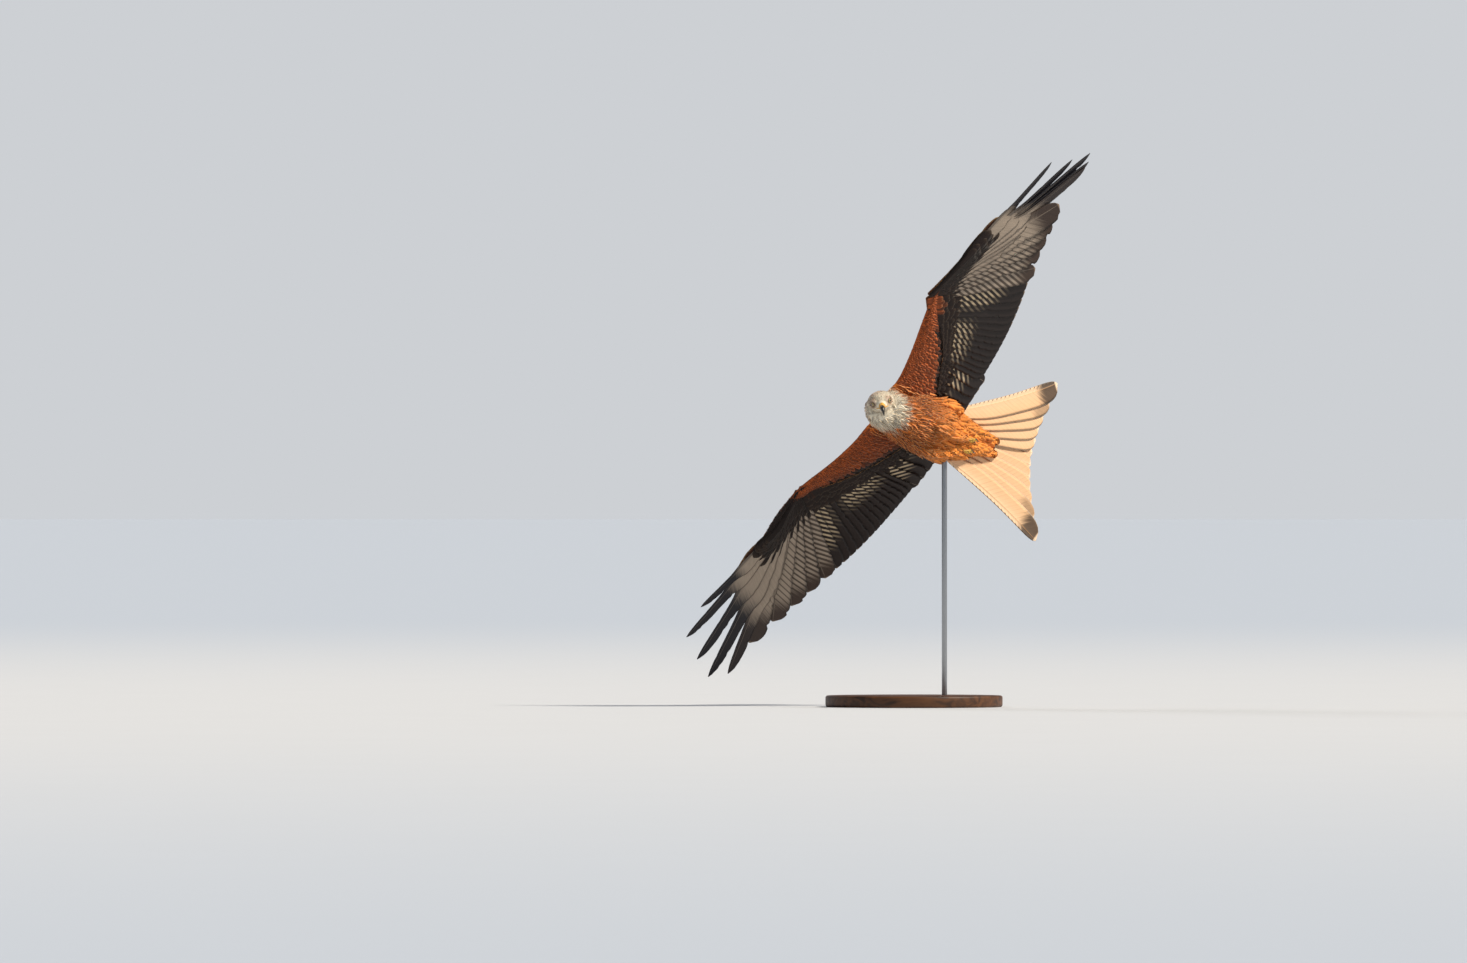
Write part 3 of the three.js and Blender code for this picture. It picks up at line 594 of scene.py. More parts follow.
RIGHT = dict(
    name="right", sign=1, finger_bow=-0.012, finger_twist=-0.05,
    wrist=(275, 147), elbow=(168, 50), hand_angle=5,
    primary_angles=[-43.4, -34.2, -26.8, -19.5, -12.3, -8.8, -3.3, 3.2, 12.4, 18],
    primary_lengths=[241, 255, 274, 302, 350, 426, 433, 388, 339, 250],
    secondary_angles=(-48, -82), secondary_lengths=(234, 148),
    tertial_roots=((155, 42), (80, 2)), tertial_tips=((164, -105), (94, -112)),
    heights=[15, 30, 46, 50, 58], twist=-0.015,
    arm_lead=[(44, 90), (69, 95), (97, 98), (146, 111), (195, 128), (245, 148), (273, 158)],
    hand_lead=[(276, 159), (306, 166), (345, 174), (404, 178)],
    arm_back=[(44, -30), (95, -8), (166, 36), (222, 84), (268, 131)],
)
PRIMARY_WIDTHS = [50, 54, 56, 56, 54, 52, 48, 44, 38, 30]
PRIMARY_ROOTS = (8, 103)
ROW_STEP = 0.75
SECONDARY_COUNT = 14
SECONDARY_WIDTH = 40
TERTIAL_COUNT = 4
TERTIAL_WIDTH = 44


def wing_point(wing, u, v, h=0.0):
    level = smooth(STATION_U, wing["heights"], u) + wing["twist"] * (wing["wrist"][1] - v)
    return rows(wing["sign"] * u, v, level + h)


def edge_of(wing, u):
    edge = np.array(wing["arm_lead"] + wing["hand_lead"], float)
    return smooth(edge[:, 0], edge[:, 1], u)


def flight_feathers(wing):
    """Root, angle, length, width, level and kind (0 primary, 1 secondary, 2 tertial) of each quill."""
    quills = []
    hand = math.radians(wing["hand_angle"])
    wrist = np.array(wing["wrist"], float)
    primaries = zip(wing["primary_angles"], wing["primary_lengths"], PRIMARY_WIDTHS)
    for k, (degrees, length, width) in enumerate(primaries):
        reach = mixed(*PRIMARY_ROOTS, k / (len(PRIMARY_WIDTHS) - 1))
        angle = math.radians(degrees)
        root = wrist + reach * np.array([math.cos(hand), math.sin(hand)])
        quills.append((*root, angle, length, width, -ROW_STEP * k, 0, k))
    for n in range(SECONDARY_COUNT):
        t = n / (SECONDARY_COUNT - 1)
        root = mixed(wrist, np.array(wing["elbow"], float), mixed(0.05, 1, t))
        angle = math.radians(mixed(*wing["secondary_angles"], t))
        quills.append((*root, angle, mixed(*wing["secondary_lengths"], t), SECONDARY_WIDTH, 0, 1, n))
    for n in range(TERTIAL_COUNT):
        t = n / (TERTIAL_COUNT - 1)
        root = mixed(*np.array(wing["tertial_roots"], float), t)
        tip = mixed(*np.array(wing["tertial_tips"], float), t)
        dx, dy = tip - root
        quills.append((*root, math.atan2(dy, dx), math.hypot(dx, dy), TERTIAL_WIDTH, 0.4, 2, n))
    return np.array(quills)


print("quills a wing", len(flight_feathers(LEFT)))

# %% [markdown]
# A vane lies on the wing's surface with its trailing edge tilted down, under the next feather's
# leading edge, as shingles do. Its outline comes from a few shares of the width along the shaft:
# blunt for most feathers, and cut in to a finger for the outer primaries, whose slots let air
# through at the tip.

# %% Lay vanes on a wing
BLUNT = [(0, 0.3), (0.08, 0.55), (0.32, 0.88), (0.6, 0.97), (0.85, 1), (0.94, 0.82), (0.985, 0.45), (1, 0.06)]
FINGER = [
    (0, 0.3), (0.1, 0.55), (0.28, 0.86), (0.42, 1), (0.49, 0.95), (0.56, 0.68), (0.63, 0.56),
    (0.88, 0.43), (0.96, 0.27), (1, 0.04),
]
SHORT = [(0, 0.5), (0.2, 0.8), (0.5, 0.97), (0.8, 1), (0.93, 0.76), (0.985, 0.4), (1, 0.08)]
VANE_TILT = math.radians(5)
LEAD_SHARE = 0.34
SHAFT_BOW = 0.018


def outline(shape, t):
    xs, ys = np.array(shape).T
    return np.clip(smooth(xs, ys, t), 0.03, 1.05)


def lay_on_wing(wing, roots, angles, lengths, levels, t, bow=SHAFT_BOW, twist=0.0):
    """Points, sides and upward ways of shafts that bend along the wing's surface."""
    c, s = np.cos(angles)[:, None], np.sin(angles)[:, None]

    def at(part, reach=0.0):
        across = 4 * bow * lengths[:, None] * part * (1 - part) + reach
        u = roots[:, :1] + lengths[:, None] * part * c - across * s
        v = roots[:, 1:2] + lengths[:, None] * part * s + across * c
        return wing_point(wing, u, v, levels[:, None])

    point = at(t)
    heading = unit(at(t + 0.01) - at(t - 0.01))
    flat = unit(at(t, 0.5) - at(t, -0.5))
    up = unit(np.cross(flat, heading))
    up = np.where(up[..., 2:] < 0, -up, up)
    tilt = (VANE_TILT - twist + 0 * t)[..., None]
    side = flat * np.cos(tilt) + up * np.sin(tilt)
    return point, side, up * np.cos(tilt) - flat * np.sin(tilt)


def worn(shares, rng, amount=0.03, slits=4):
    """Small uneven wear along a web's edge, with a few narrow slits where barbs have parted."""
    count, stations = shares.shape
    shares = shares * (1 + rng.normal(0, amount, (count, stations)) * 0.5)
    for _ in range(slits):
        where = rng.integers(int(stations * 0.3), stations - 2, count)
        shares[np.arange(count), where] *= rng.uniform(0.84, 0.96, count)
    return shares


FLIGHT_LANES = (-1, -0.8, -0.55, -0.3, -0.06, 0, 0.06, 0.35, 0.7, 1)
FLIGHT_STATIONS = 44
FIRST_FINGER = 5
FINGER_LEAD = 0.3
PATCH = (0.92, 0.96)


def quill_vanes(wing, quills, rng):
    t = np.linspace(0, 1, FLIGHT_STATIONS)[None] ** 0.9
    kinds, number = quills[:, 6], quills[:, 7]
    fingers = (kinds == 0) & (number >= FIRST_FINGER)
    share = np.where(fingers[:, None], outline(FINGER, t), outline(BLUNT, t))
    lead_part = np.where(fingers, FINGER_LEAD, LEAD_SHARE)[:, None]
    width = quills[:, 4:5]
    bow = np.where(fingers, wing["finger_bow"], SHAFT_BOW)[:, None]
    twist = np.where(fingers, wing["finger_twist"], 0.0)[:, None] * step(0.4, 0.62, t)
    at, side, up = lay_on_wing(wing, quills[:, :2], quills[:, 2], quills[:, 3], quills[:, 5], t, bow, twist)
    count = len(quills)
    trail = width * worn(share, rng) * (1 - lead_part)
    lead = width * worn(share, rng, 0.015, 1) * lead_part
    return dict(
        at=at, side=side, up=up, lead=lead, trail=trail, part=t,
        thick=np.full_like(share, 0.5) * (1 - 0.5 * t), ridge=0.55, bow=trail * 0.05,
        length=quills[:, 3], tuft=rows(kinds, number, rng.random(count)), **long_maps(count),
    )


def long_maps(count):
    """Each long feather has a column of the map to itself, and no marks of the body."""
    column = (np.arange(count) + 0.5) / count
    patch = rows(np.full(count, PATCH[0] / count), PATCH[1])
    return dict(mark=np.zeros((count, 3)), bake=rows(column, 0.5), patch=patch)


print("fingers a wing", len(LEFT["primary_angles"]) - FIRST_FINGER)

# %% [markdown]
# ## Flight feathers from below and above
# From below, the inner primaries make a large pale grey window, whose dark bars grow wider and
# whose tips grow darker towards the body. The fingers are black past their notch, and the
# secondaries are dark brown with pale bars on their inner webs. From above all are blackish
# brown. `tuft` says which feather it is.

# %% The quill finish
BLACK_TIP, WINDOW, BAR, DUSKY = "#121119", "#a19180", "#30241c", "#3f3027"
SECONDARY_DARK, PALE_BAR = "#1f1512", "#bda98a"
UPPER_DARK, UPPER_BROWN = "#1b1614", "#35241b"
TIP_RIM, QUILL_SHAFT = "#a98f76", "#8d7f70"
BAR_SPACING = 15.0


def quill_color(tree):
    kind, number, seed = split(tree, "tuft")
    t, w, face = split(tree, "blade")
    barb = attribute(tree, "barb").outputs["Fac"]
    parts = use_group(tree, FEATHER)
    inner_web = between(tree, w, 0.02, -0.1)
    place_t = calc(tree, "ADD", t, line(tree, parts["Streaks"], 0.16, -0.08))
    phase = line(tree, barb, 2 * math.pi / BAR_SPACING, times(tree, seed, 3.0))
    bar_wave = calc(tree, "SINE", phase)
    inward = between(tree, number, 4.0, 0.0)
    bars = between(tree, line(tree, inward, 0.8, bar_wave), 0.62, 0.9)
    outer = between(tree, number, 3.0, 6.5)
    window_end = line(tree, outer, -0.32, 0.84)
    pale = between(tree, calc(tree, "SUBTRACT", place_t, window_end), 0.08, -0.08)
    bar_amount = times(tree, bars, between(tree, number, 5.5, 2.0))
    window = mix(tree, times(tree, bar_amount, 0.85), WINDOW, BAR)
    dusky = mix(tree, outer, DUSKY, BLACK_TIP)
    primary = mix(tree, pale, dusky, window)
    primary = mix(tree, times(tree, between(tree, w, 0.1, 0.3), 0.6), primary, dusky)
    reach = line(tree, between(tree, number, 3.0, 0.0), -0.22, place_t)
    patch = times(tree, between(tree, place_t, 0.1, 0.2), between(tree, reach, 0.6, 0.4))
    patch = times(tree, patch, inner_web)
    patch_bars = times(tree, patch, between(tree, bar_wave, 0.0, -0.5))
    inner = times(tree, between(tree, number, 3.5, 5.5), between(tree, number, 13.5, 9.5))
    strength = calc(tree, "MAXIMUM", between(tree, number, 2.6, 0.6), inner)
    secondary = mix(tree, times(tree, patch_bars, strength), SECONDARY_DARK, PALE_BAR)
    below = mix(tree, between(tree, kind, 0.4, 0.6), primary, secondary)
    above = mix(tree, times(tree, bars, 0.5), UPPER_BROWN, UPPER_DARK)
    above = mix(tree, between(tree, t, 0.6, 0.9), above, UPPER_DARK)
    color = mix(tree, between(tree, face, -0.5, 0.5), below, above)
    rimmed = between(tree, calc(tree, "SUBTRACT", number, kind), 5.0, 4.0)
    tip = times(tree, between(tree, t, 0.982, 0.996), rimmed)
    color = mix(tree, times(tree, tip, 0.45), color, TIP_RIM)
    color = mix(tree, times(tree, parts["Shaft"], 0.55), color, QUILL_SHAFT)
    return dimmed(tree, color, line(tree, parts["Streaks"], 0.6, 0.7))


quill_finish = finish("flight feathers", quill_color, 0.5, barb_bump, 0.00025, Specular_IOR_Level=0.4)
for wing, seed in ((LEFT, 11), (RIGHT, 12)):
    side_name = wing["name"]
    shafts = quill_vanes(wing, flight_feathers(wing), np.random.default_rng(seed))
    piece = vanes(f"wing_{side_name}_quills", shafts, quill_finish, FLIGHT_LANES)
    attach(piece, "root")
    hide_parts(f"wing_{side_name}_arm", f"wing_{side_name}_hand")

# %% [markdown]
# ## The skin
# One skin lies under the whole coat: torso, neck, head and brows, shoulders, thighs, the cone of
# the rump with two soft lobes under the tail, and the flesh of both wings. Each form is a sleeve
# of rings. A voxel remesh then melts them together and a smooth modifier rounds the joins, so
# that no seam shows between the feathers.

# %% Wing flesh, tail cone and thighs
WING_SECTION = [(0, 0), (0.08, 0.55), (0.3, 0.95), (0.55, 1), (0.82, 0.8)]
BACK_EDGE = 4.8
WING_COAT = 1.8
ARM_THICK, HAND_THICK, HAND_SINK, HAND_BACK = (15, 8.5), (8.5, 6.5), 4, 13


def wing_rings(wing, lead, back, thick, sink, count):
    """Rings of a wing's flesh, drawn in by the depth of its coverts."""
    less = WING_COAT
    front, rear = through(lead, count)[0], through(back, count)[0]
    rings = []
    for k in range(count):
        t = k / (count - 1)
        a, b = front[k], rear[k]
        along = unit(b - a)
        half = max(mixed(*thick, t), BACK_EDGE + 1)
        spots = [(0, 0, less)]
        spots += [(part, h * half - less, 0) for part, h in WING_SECTION[1:]]
        spots += [(1, BACK_EDGE - less, -less), (1, less - BACK_EDGE, -less)]
        spots += [(part, less - h * half, 0) for part, h in WING_SECTION[:0:-1]]
        ring = []
        for part, h, more in spots:
            u, v = mixed(a, b, part) + along * more
            ring.append(wing_point(wing, u, v, h - sink * t))
        rings.append(np.array(ring))
    return rings


def hand_back(wing):
    quills = flight_feathers(wing)
    primaries = quills[quills[:, 6] == 0]
    reach = HAND_BACK * rows(np.cos(primaries[:, 2]), np.sin(primaries[:, 2]))
    return primaries[:, :2] + reach


TAIL_ROOT = np.array([8.0, -95.0, 5.0])
TAIL_RAISE, TAIL_TWIST, TAIL_YAW = 14, 36, 6
TAIL_TURN = np.array(
    Matrix.Rotation(-math.radians(TAIL_RAISE), 3, "X")
    @ Matrix.Rotation(math.radians(TAIL_TWIST), 3, "Y")
    @ Matrix.Rotation(math.radians(TAIL_YAW), 3, "Z")
)
CONE = [
    (-2, 4, 61, 31, 42), (22, 5, 59, 20, 38), (48, 4, 50, 13, 32), (78, 2, 38, 8, 24),
    (108, 0, 26, 5, 15), (134, 0, 17, 3, 8),
]


def tail_point(x, t, h=0.0):
    return rows(x, -np.asarray(t, float), h) @ TAIL_TURN.T + TAIL_ROOT


def cone_rings():
    across, upward = TAIL_TURN[:, 0], TAIL_TURN[:, 2]
    rings = []
    for t, x, wide, up, down in CONE:
        less = COAT * min(1, down / 30)
        sizes = (wide - less, max(up - less, 1.2), down - less)
        rings.append(oval(tail_point(x, t), across, upward, *sizes))
    return rings


def thigh_stops(sign):
    return [
        (4 + sign * 31, -18, -52), (6 + sign * 30, -42, -62), (7 + sign * 25, -68, -62),
        (6 + sign * 18, -92, -52), (7 + sign * 15, -104, -46 - sign * 3),
        (8 + sign * 13, -120, -41 - sign * 4),
    ]


NECK_COAT = 3
THIGH_RADII = [17 - COAT, 19 - COAT, 15 - COAT, 8, 7, 5]
SHOULDER = [(-28, 60, 2), (-39, 75, 7), (-44, 83, 13)]
SCAPULARS = [(-34, 30, 4), (-41, 0, 9), (-43, -36, 13), (-50, -72, 14), (-47, -104, 6)]
LOBE, LOBES_ACROSS = ((20, -24), (80, -17), (142, -8)), (-11, 19)

sleeves = [
    sleeve("torso_form", torso_rings()),
    sleeve("head_form", head_rings()),
    sleeve("cone_form", cone_rings()),
]
paths = [
    ("shoulder_form", SHOULDER, [20, 13, 8], 16, 8),
    ("scapular_form", SCAPULARS, [10, 13, 14, 14, 6], 16, 12),
    ("neck_form", [p for p, _ in NECK], [r - NECK_COAT for _, r in NECK], 20, 7),
]
for sign in (-1, 1):
    brow = [head_point(s, sign * x, u) for s, x, u, _ in BROW]
    paths.append(("thigh_form", thigh_stops(sign), THIGH_RADII, 16, 14))
    paths.append(("brow_form", brow, [r for *_, r in BROW], 12, 9))
for across in LOBES_ACROSS:
    paths.append(("undertail_form", [tail_point(across, t, h) for t, h in LOBE], [12, 12, 4], 16, 12))
sleeves += [sleeve(name, along_path(*path)) for name, *path in paths]
for wing in (LEFT, RIGHT):
    arm = wing_rings(wing, wing["arm_lead"], wing["arm_back"], ARM_THICK, 0, 14)
    hand = wing_rings(wing, wing["hand_lead"], hand_back(wing), HAND_THICK, HAND_SINK, 8)
    sleeves.append(sleeve("wing_form", arm[:-1] + hand))
print("sleeves", len(sleeves))

# %% Melt the sleeves into one skin
VOXEL = 2.0
skin = join(sleeves, "skin")
apply(skin, "REMESH", mode="VOXEL", voxel_size=VOXEL)
apply(skin, "SMOOTH", factor=0.5, iterations=5)
print("skin", len(skin.data.polygons), "faces")

# %% [markdown]
# ## Where feathers grow
# Roots are thrown evenly over the skin and thinned until each keeps its distance. From its root a
# feather runs along the skin, step by step, in the way that the coat lies: back from the bill,
# along the neck and body to the tail, and over the wings to the trailing edge.

# %% Read the skin
def surface_arrays(piece):
    mesh = piece.data
    mesh.calc_loop_triangles()
    points = np.zeros(len(mesh.vertices) * 3)
    mesh.vertices.foreach_get("co", points)
    corners = np.zeros(len(mesh.loop_triangles) * 3, np.int32)
    mesh.loop_triangles.foreach_get("vertices", corners)
    return points.reshape(-1, 3), corners.reshape(-1, 3)


skin_points, skin_corners = surface_arrays(skin)
skin_tree = BVHTree.FromPolygons(skin_points.tolist(), skin_corners.tolist())
skin_faces = skin_points[skin_corners]
cross = np.cross(skin_faces[:, 1] - skin_faces[:, 0], skin_faces[:, 2] - skin_faces[:, 0])
skin_areas = np.linalg.norm(cross, axis=1) / 2
skin_normals = unit(cross)
skin_middles = skin_faces.mean(axis=1)
print("skin area", round(skin_areas.sum() / 100), "square centimetres")

# %% Regions of the skin
WING_START = 62
LIE_U, LIE_LEFT, LIE_RIGHT = [60, 160, 278, 300, 400], [-95, -98, -70, -58, -34], [-88, -82, -50, -40, 0]


def tail_frame(p):
    """Places in the tail's own frame, whose Y runs forwards from its tip to its root."""
    return (p - TAIL_ROOT) @ TAIL_TURN


def distance(p, centre):
    return np.linalg.norm(p - centre, axis=-1)


def from_eyes(p):
    return np.minimum(distance(p, eye_centre(-1)), distance(p, eye_centre(1)))


def ahead_on_head(p):
    return (p - HEAD_CENTRE) @ LOOK


def regions(p):
    """How much each point belongs to the head, the wings and the tail cone."""
    head = step(40, 30, distance(p, HEAD_CENTRE))
    wing = step(WING_START - 6, WING_START + 4, np.abs(p[..., 0])) * step(-75, -45, p[..., 1])
    tail = step(0, 24, -tail_frame(p)[..., 1])
    return head, wing, tail


def lie(p, normals):
    """The way that the coat lies at each point, flat on the skin."""
    _, wing, tail = regions(p)
    near = step(52, 26, distance(p, HEAD_CENTRE))[:, None]
    flow = mixed(np.array([0.02, -1.0, 0.04]), -LOOK, near)
    flow = mixed(flow, -TAIL_TURN[:, 1], tail[:, None])
    u = np.abs(p[:, 0])
    out = np.where(p[:, 0] < 0, -1.0, 1.0)
    angle = np.radians(np.where(p[:, 0] < 0, smooth(LIE_U, LIE_LEFT, u), smooth(LIE_U, LIE_RIGHT, u)))
    back = rows(out * np.cos(angle), np.sin(angle), 0.0)
    flow = mixed(flow, back, wing[:, None])
    return unit(flow - (flow * normals).sum(axis=1, keepdims=True) * normals)


print("regions at the crown", [round(float(r), 2) for r in regions(head_point(0, 0, 25.0))])

# %% Scatter roots and lay feathers
def scatter(spacing, wanted, seed):
    """Roots on the wanted part of the skin, as far apart as the spacing says, with its normals."""
    rng = np.random.default_rng(seed)
    mask = wanted(skin_middles, skin_normals)
    gap = spacing(skin_middles)
    weight = skin_areas * mask / gap**2
    tries = int(weight.sum() * 4)
    picks = rng.choice(len(weight), tries, p=weight / weight.sum())
    a, b = np.sqrt(rng.random(tries)), rng.random(tries)
    shares = np.stack([1 - a, a * (1 - b), a * b], axis=1)
    spots = (skin_faces[picks] * shares[..., None]).sum(axis=1)
    tree = kdtree.KDTree(tries)
    for k, spot in enumerate(spots):
        tree.insert(spot, k)
    tree.balance()
    alive = np.ones(tries, bool)
    kept = []
    for k in range(tries):
        if not alive[k]:
            continue
        kept.append(k)
        for _, other, _ in tree.find_range(spots[k], gap[picks[k]]):
            alive[other] = False
    return spots[kept], skin_normals[picks[kept]]


def lay_on_skin(roots, normals, lengths, stations, turn, rng):
    """March each shaft along the skin. Returns points, headings and normals, feather by station."""
    points, headings, ups = [], [], []
    p, n = roots.copy(), normals.copy()
    twist = rng.normal(0, turn, len(roots))[:, None]
    for k in range(stations):
        d = lie(p, n)
        d = unit(d + np.cross(n, d) * twist)
        points.append(p)
        headings.append(d)
        ups.append(n)
        ahead = p + d * (lengths / (stations - 1))[:, None]
        found = [skin_tree.find_nearest(a) for a in ahead]
        p = np.array([f[0] for f in found])
        near = np.array([f[1] for f in found])
        n = unit(mixed(n, near, 0.6))
    return [np.stack(x, axis=1) for x in (points, headings, ups)]


ROUND_TIP = [(0, 0.45), (0.2, 0.8), (0.5, 1), (0.75, 0.93), (0.92, 0.6), (1, 0.1)]
LANCE = [(0, 0.5), (0.2, 0.9), (0.45, 1), (0.7, 0.72), (0.9, 0.34), (1, 0.05)]
ROOT_SUNK = 0.6
SMALL_PATCH = 0.003


def coat(name, grown, lengths, widths, lift, rng, map_of, shape=LANCE, edges=None, stations=6, turn=0.1):
    """Lays a feather at each root that grew, with the marks of its place, as one piece."""
    roots, normals = grown
    marks, tufts = marks_of(roots, normals)
    if edges is not None:
        tufts[:, 1] = edges
    at, heading, up = lay_on_skin(roots, normals, lengths, stations, turn, rng)
    t = np.linspace(0, 1, stations)[None]
    side = unit(np.cross(heading, up))
    share = outline(shape, t) * np.ones((len(roots), 1))
    half = widths[:, None] * share / 2
    rise = lift[:, None] * t**0.8 - ROOT_SUNK
    shafts = dict(
        at=at + rise[..., None] * up, side=side, up=up, lead=half, trail=half, part=t,
        thick=np.full_like(half, 0.5) * (1 - 0.4 * t), ridge=0.12, bow=half * 0.22, length=lengths,
        tuft=np.concatenate([tufts, rng.random((len(roots), 1))], axis=1), mark=marks,
        bake=map_of(roots, normals), patch=np.full((len(roots), 2), SMALL_PATCH),
    )
    piece = vanes(name, shafts, plumage)
    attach(piece, "root")
    return piece


# %% [markdown]
# ## Markings
# The skin and the coat take their marks from the same function of place, so a gap between two
# feathers never shows a wrong colour.

# %% Marks of the body
RUFF_CENTRE = HEAD_CENTRE + [10, -12, -10]


def body_marks(p, normals):
    uneven = 5 * np.sin(p[:, 0] * 0.4) * np.sin(p[:, 2] * 0.5)
    pale = step(57, 37, distance(p, RUFF_CENTRE) + uneven)
    upper = step(0.15, 0.6, normals[:, 2]) * step(60, 40, p[:, 1]) * (1 - pale)
    rear = step(20, -90, p[:, 1])
    golden = (0.35 + 0.65 * rear) * (1 - upper)
    lore = step(13, 7, from_eyes(p))
    pale = pale * (1 - 0.75 * lore)
    dark = np.maximum(0.35 * upper, 0.8 * lore)
    streak = mixed(0.95, 0.15, step(25, -60, p[:, 1]))
    streak = mixed(streak, 0.5, pale)
    streak = np.maximum(streak, 0.85 * upper)
    edge = mixed(0.9, 0.3, rear)
    return rows(pale, golden, dark), rows(streak, edge)


BAND_U = [60, 100, 180, 240, 275, 300]
BAND_DEPTH = [82, 64, 37, 26, 19, 8]


def wing_marks(wing, p, normals):
    u = np.abs(p[:, 0])
    behind = edge_of(wing, u) - p[:, 1]
    under = step(0.2, -0.2, normals[:, 2])
    depth = smooth(BAND_U, BAND_DEPTH, u) + 6 * np.sin(p[:, 0] * 0.37) * np.sin(p[:, 1] * 0.29)
    rufous_band = step(300, 262, u) * step(8, -8, behind - depth)
    dark_under = mixed(0.99, 0.15, rufous_band)
    dark_over = 0.55 + 0.3 * step(30, 60, behind)
    dark = mixed(dark_over, dark_under, under)
    golden = mixed(0.5 * step(20, 60, behind), 0.0, under)
    streak = mixed(0.6, 0.06 + 0.69 * rufous_band, under)
    edge = mixed(0.5, 0.03 + 0.15 * rufous_band, under)
    return rows(0 * u, golden, dark), rows(streak, edge)


def marks_of(p, normals):
    _, wing_share, _ = regions(p)
    marks, tufts = body_marks(p, normals)
    for wing in (LEFT, RIGHT):
        here = (wing_share > 0.5) & (np.sign(p[:, 0]) == wing["sign"])
        wing_mark, wing_tuft = wing_marks(wing, p, normals)
        marks[here], tufts[here] = wing_mark[here], wing_tuft[here]
    return marks, tufts


def body_unwrap(p, normals):
    """A plain unwrap of the body: round its axis, and along it."""
    turn = np.arctan2(p[:, 0] - 2, p[:, 2] + 15) / (2 * math.pi) + 0.5
    along = (p[:, 1] + 260) / 440
    return np.clip(rows(turn, along), 0.01, 0.99)


def wing_unwrap(p, normals):
    out = (np.abs(p[:, 0]) - 40) / 400 * 0.48
    return np.clip(rows(out + 0.5 * (normals[:, 2] > 0), (p[:, 1] + 150) / 340), 0.01, 0.99)


marks, tufts = marks_of(skin_points, unit(np.array([v.normal for v in skin.data.vertices])))
tufts = np.concatenate([tufts, np.full((len(tufts), 1), 0.5)], axis=1)
blade = np.tile([0.5, 0.5, 1.0], (len(tufts), 1))
tell(skin.data, mark=marks, tuft=tufts, blade=blade, barb=skin_points[:, 1])
skin.data.transform(TO_SCENE)
skin.data.materials.append(plumage)
skin.data.shade_smooth()
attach(skin, "root")
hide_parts("torso", "neck", "head", "leg_left", "leg_right")
print("skin marks", marks.mean(axis=0).round(2))

# %% [markdown]
# ## The coat of the body
# Body feathers are small near the head and longer towards the vent. They could be combed hair,
# but single closed vanes show their tips at the bird's outline. Each starts at a scattered root
# and follows the skin. They are laid first on the torso, neck, thighs and rump.

# %% Body feathers
def body_wanted(p, normals):
    head, wing, _ = regions(p)
    return (head < 0.5) & (wing < 0.5)


def body_gap(p):
    return mixed(3.6, 6.2, step(35, 110, distance(p, HEAD_CENTRE)))


rng = np.random.default_rng(21)
grown = scatter(body_gap, body_wanted, 22)
roots = grown[0]
size = mixed(15, 32, step(35, 150, distance(roots, HEAD_CENTRE))) * rng.uniform(0.8, 1.25, len(roots))
widths = size * mixed(0.34, 0.42, step(60, -60, roots[:, 1]))
body_coat = coat("body_feathers", grown, size, widths, size * 0.16 + 0.8, rng, body_unwrap, turn=0.2)

# %% [markdown]
# A kite's thighs wear long loose trousers, and soft pale feathers cover the root of the tail from
# below. They are the same vanes, longer, and the trousers stand off the skin by uneven amounts.

# %% Trousers and undertail coverts
UNDERTAIL_END = 154


def trousers_wanted(p, normals):
    low = (normals[:, 2] < -0.2) & (np.abs(p[:, 0] - 6) < 42)
    return low & (p[:, 1] < -48) & (p[:, 1] > -124) & (p[:, 2] < -36)


def undertail_wanted(p, normals):
    along = -tail_frame(p)[:, 1]
    return (normals @ TAIL_TURN[:, 2] < -0.15) & (along > 4) & (along < 138)


for name, wanted, gap, puff, seed in (
    ("trouser_feathers", trousers_wanted, 6.0, 9, 25),
    ("undertail_coverts", undertail_wanted, 8.0, 0, 27),
):
    rng = np.random.default_rng(seed)
    grown = scatter(lambda p: np.full(len(p), gap), wanted, seed + 1)
    count = len(grown[0])
    room = UNDERTAIL_END + tail_frame(grown[0])[:, 1]
    long = np.minimum(rng.uniform(38, 54, count), np.maximum(room, 12))
    edges = rng.choice([0.15, 0.7], count, p=[0.7, 0.3])
    lift = 3 + puff * rng.random(count)
    piece = coat(name, grown, long, long * 0.24, lift, rng, body_unwrap, LANCE, edges, 8, 0.12)

# %% [markdown]
# The head has the finest feathers, smallest round the face. They leave the eyes and the base of
# the bill free.

# %% Head feathers
EYE_ROOM, BILL_ROOM = 6.6, 3.5


def head_wanted(p, normals):
    clear = (from_eyes(p) > EYE_ROOM) & (ahead_on_head(p) < BILL_FACE - BILL_ROOM)
    return (regions(p)[0] >= 0.5) & clear


def head_gap(p):
    return mixed(2.2, 1.3, step(-5, 20, ahead_on_head(p)))


rng = np.random.default_rng(31)
grown = scatter(head_gap, head_wanted, 32)
size = mixed(11, 4.2, step(-20, 20, ahead_on_head(grown[0]))) * rng.uniform(0.85, 1.15, len(grown[0]))
head_coat = coat("head_feathers", grown, size, size * 0.34, size * 0.14 + 0.5, rng, body_unwrap)

# %% [markdown]
# ## Wing coverts
# Over the roots of the quills lie rows of coverts, above and below. The greater and median ones
# are placed quill by quill. The lesser ones cover the flesh up to the leading edge, and grow
# smaller towards it.

# %% Rows of greater and median coverts
COVERT_LANES = (-1, -0.55, -0.08, 0, 0.08, 0.55, 1)
COVERT_STATIONS, COVERT_LEAD, ROW_CROWDING = 14, 0.42, 0.35
COVERT_ROWS = [
    dict(share=(0.3, 0.31, 0.45), back=6, under=-2.6, over=1.8, width=31),
    dict(share=(0.24, 0.24, 0.36), back=8, under=-3.6, over=2.7, width=24),
    dict(share=(0.19, 0.18, 0.28), back=11, under=-4.6, over=3.7, width=20),
    dict(share=(0.14, 0.12, 0.21), back=13, under=-5.5, over=4.6, width=17),
]


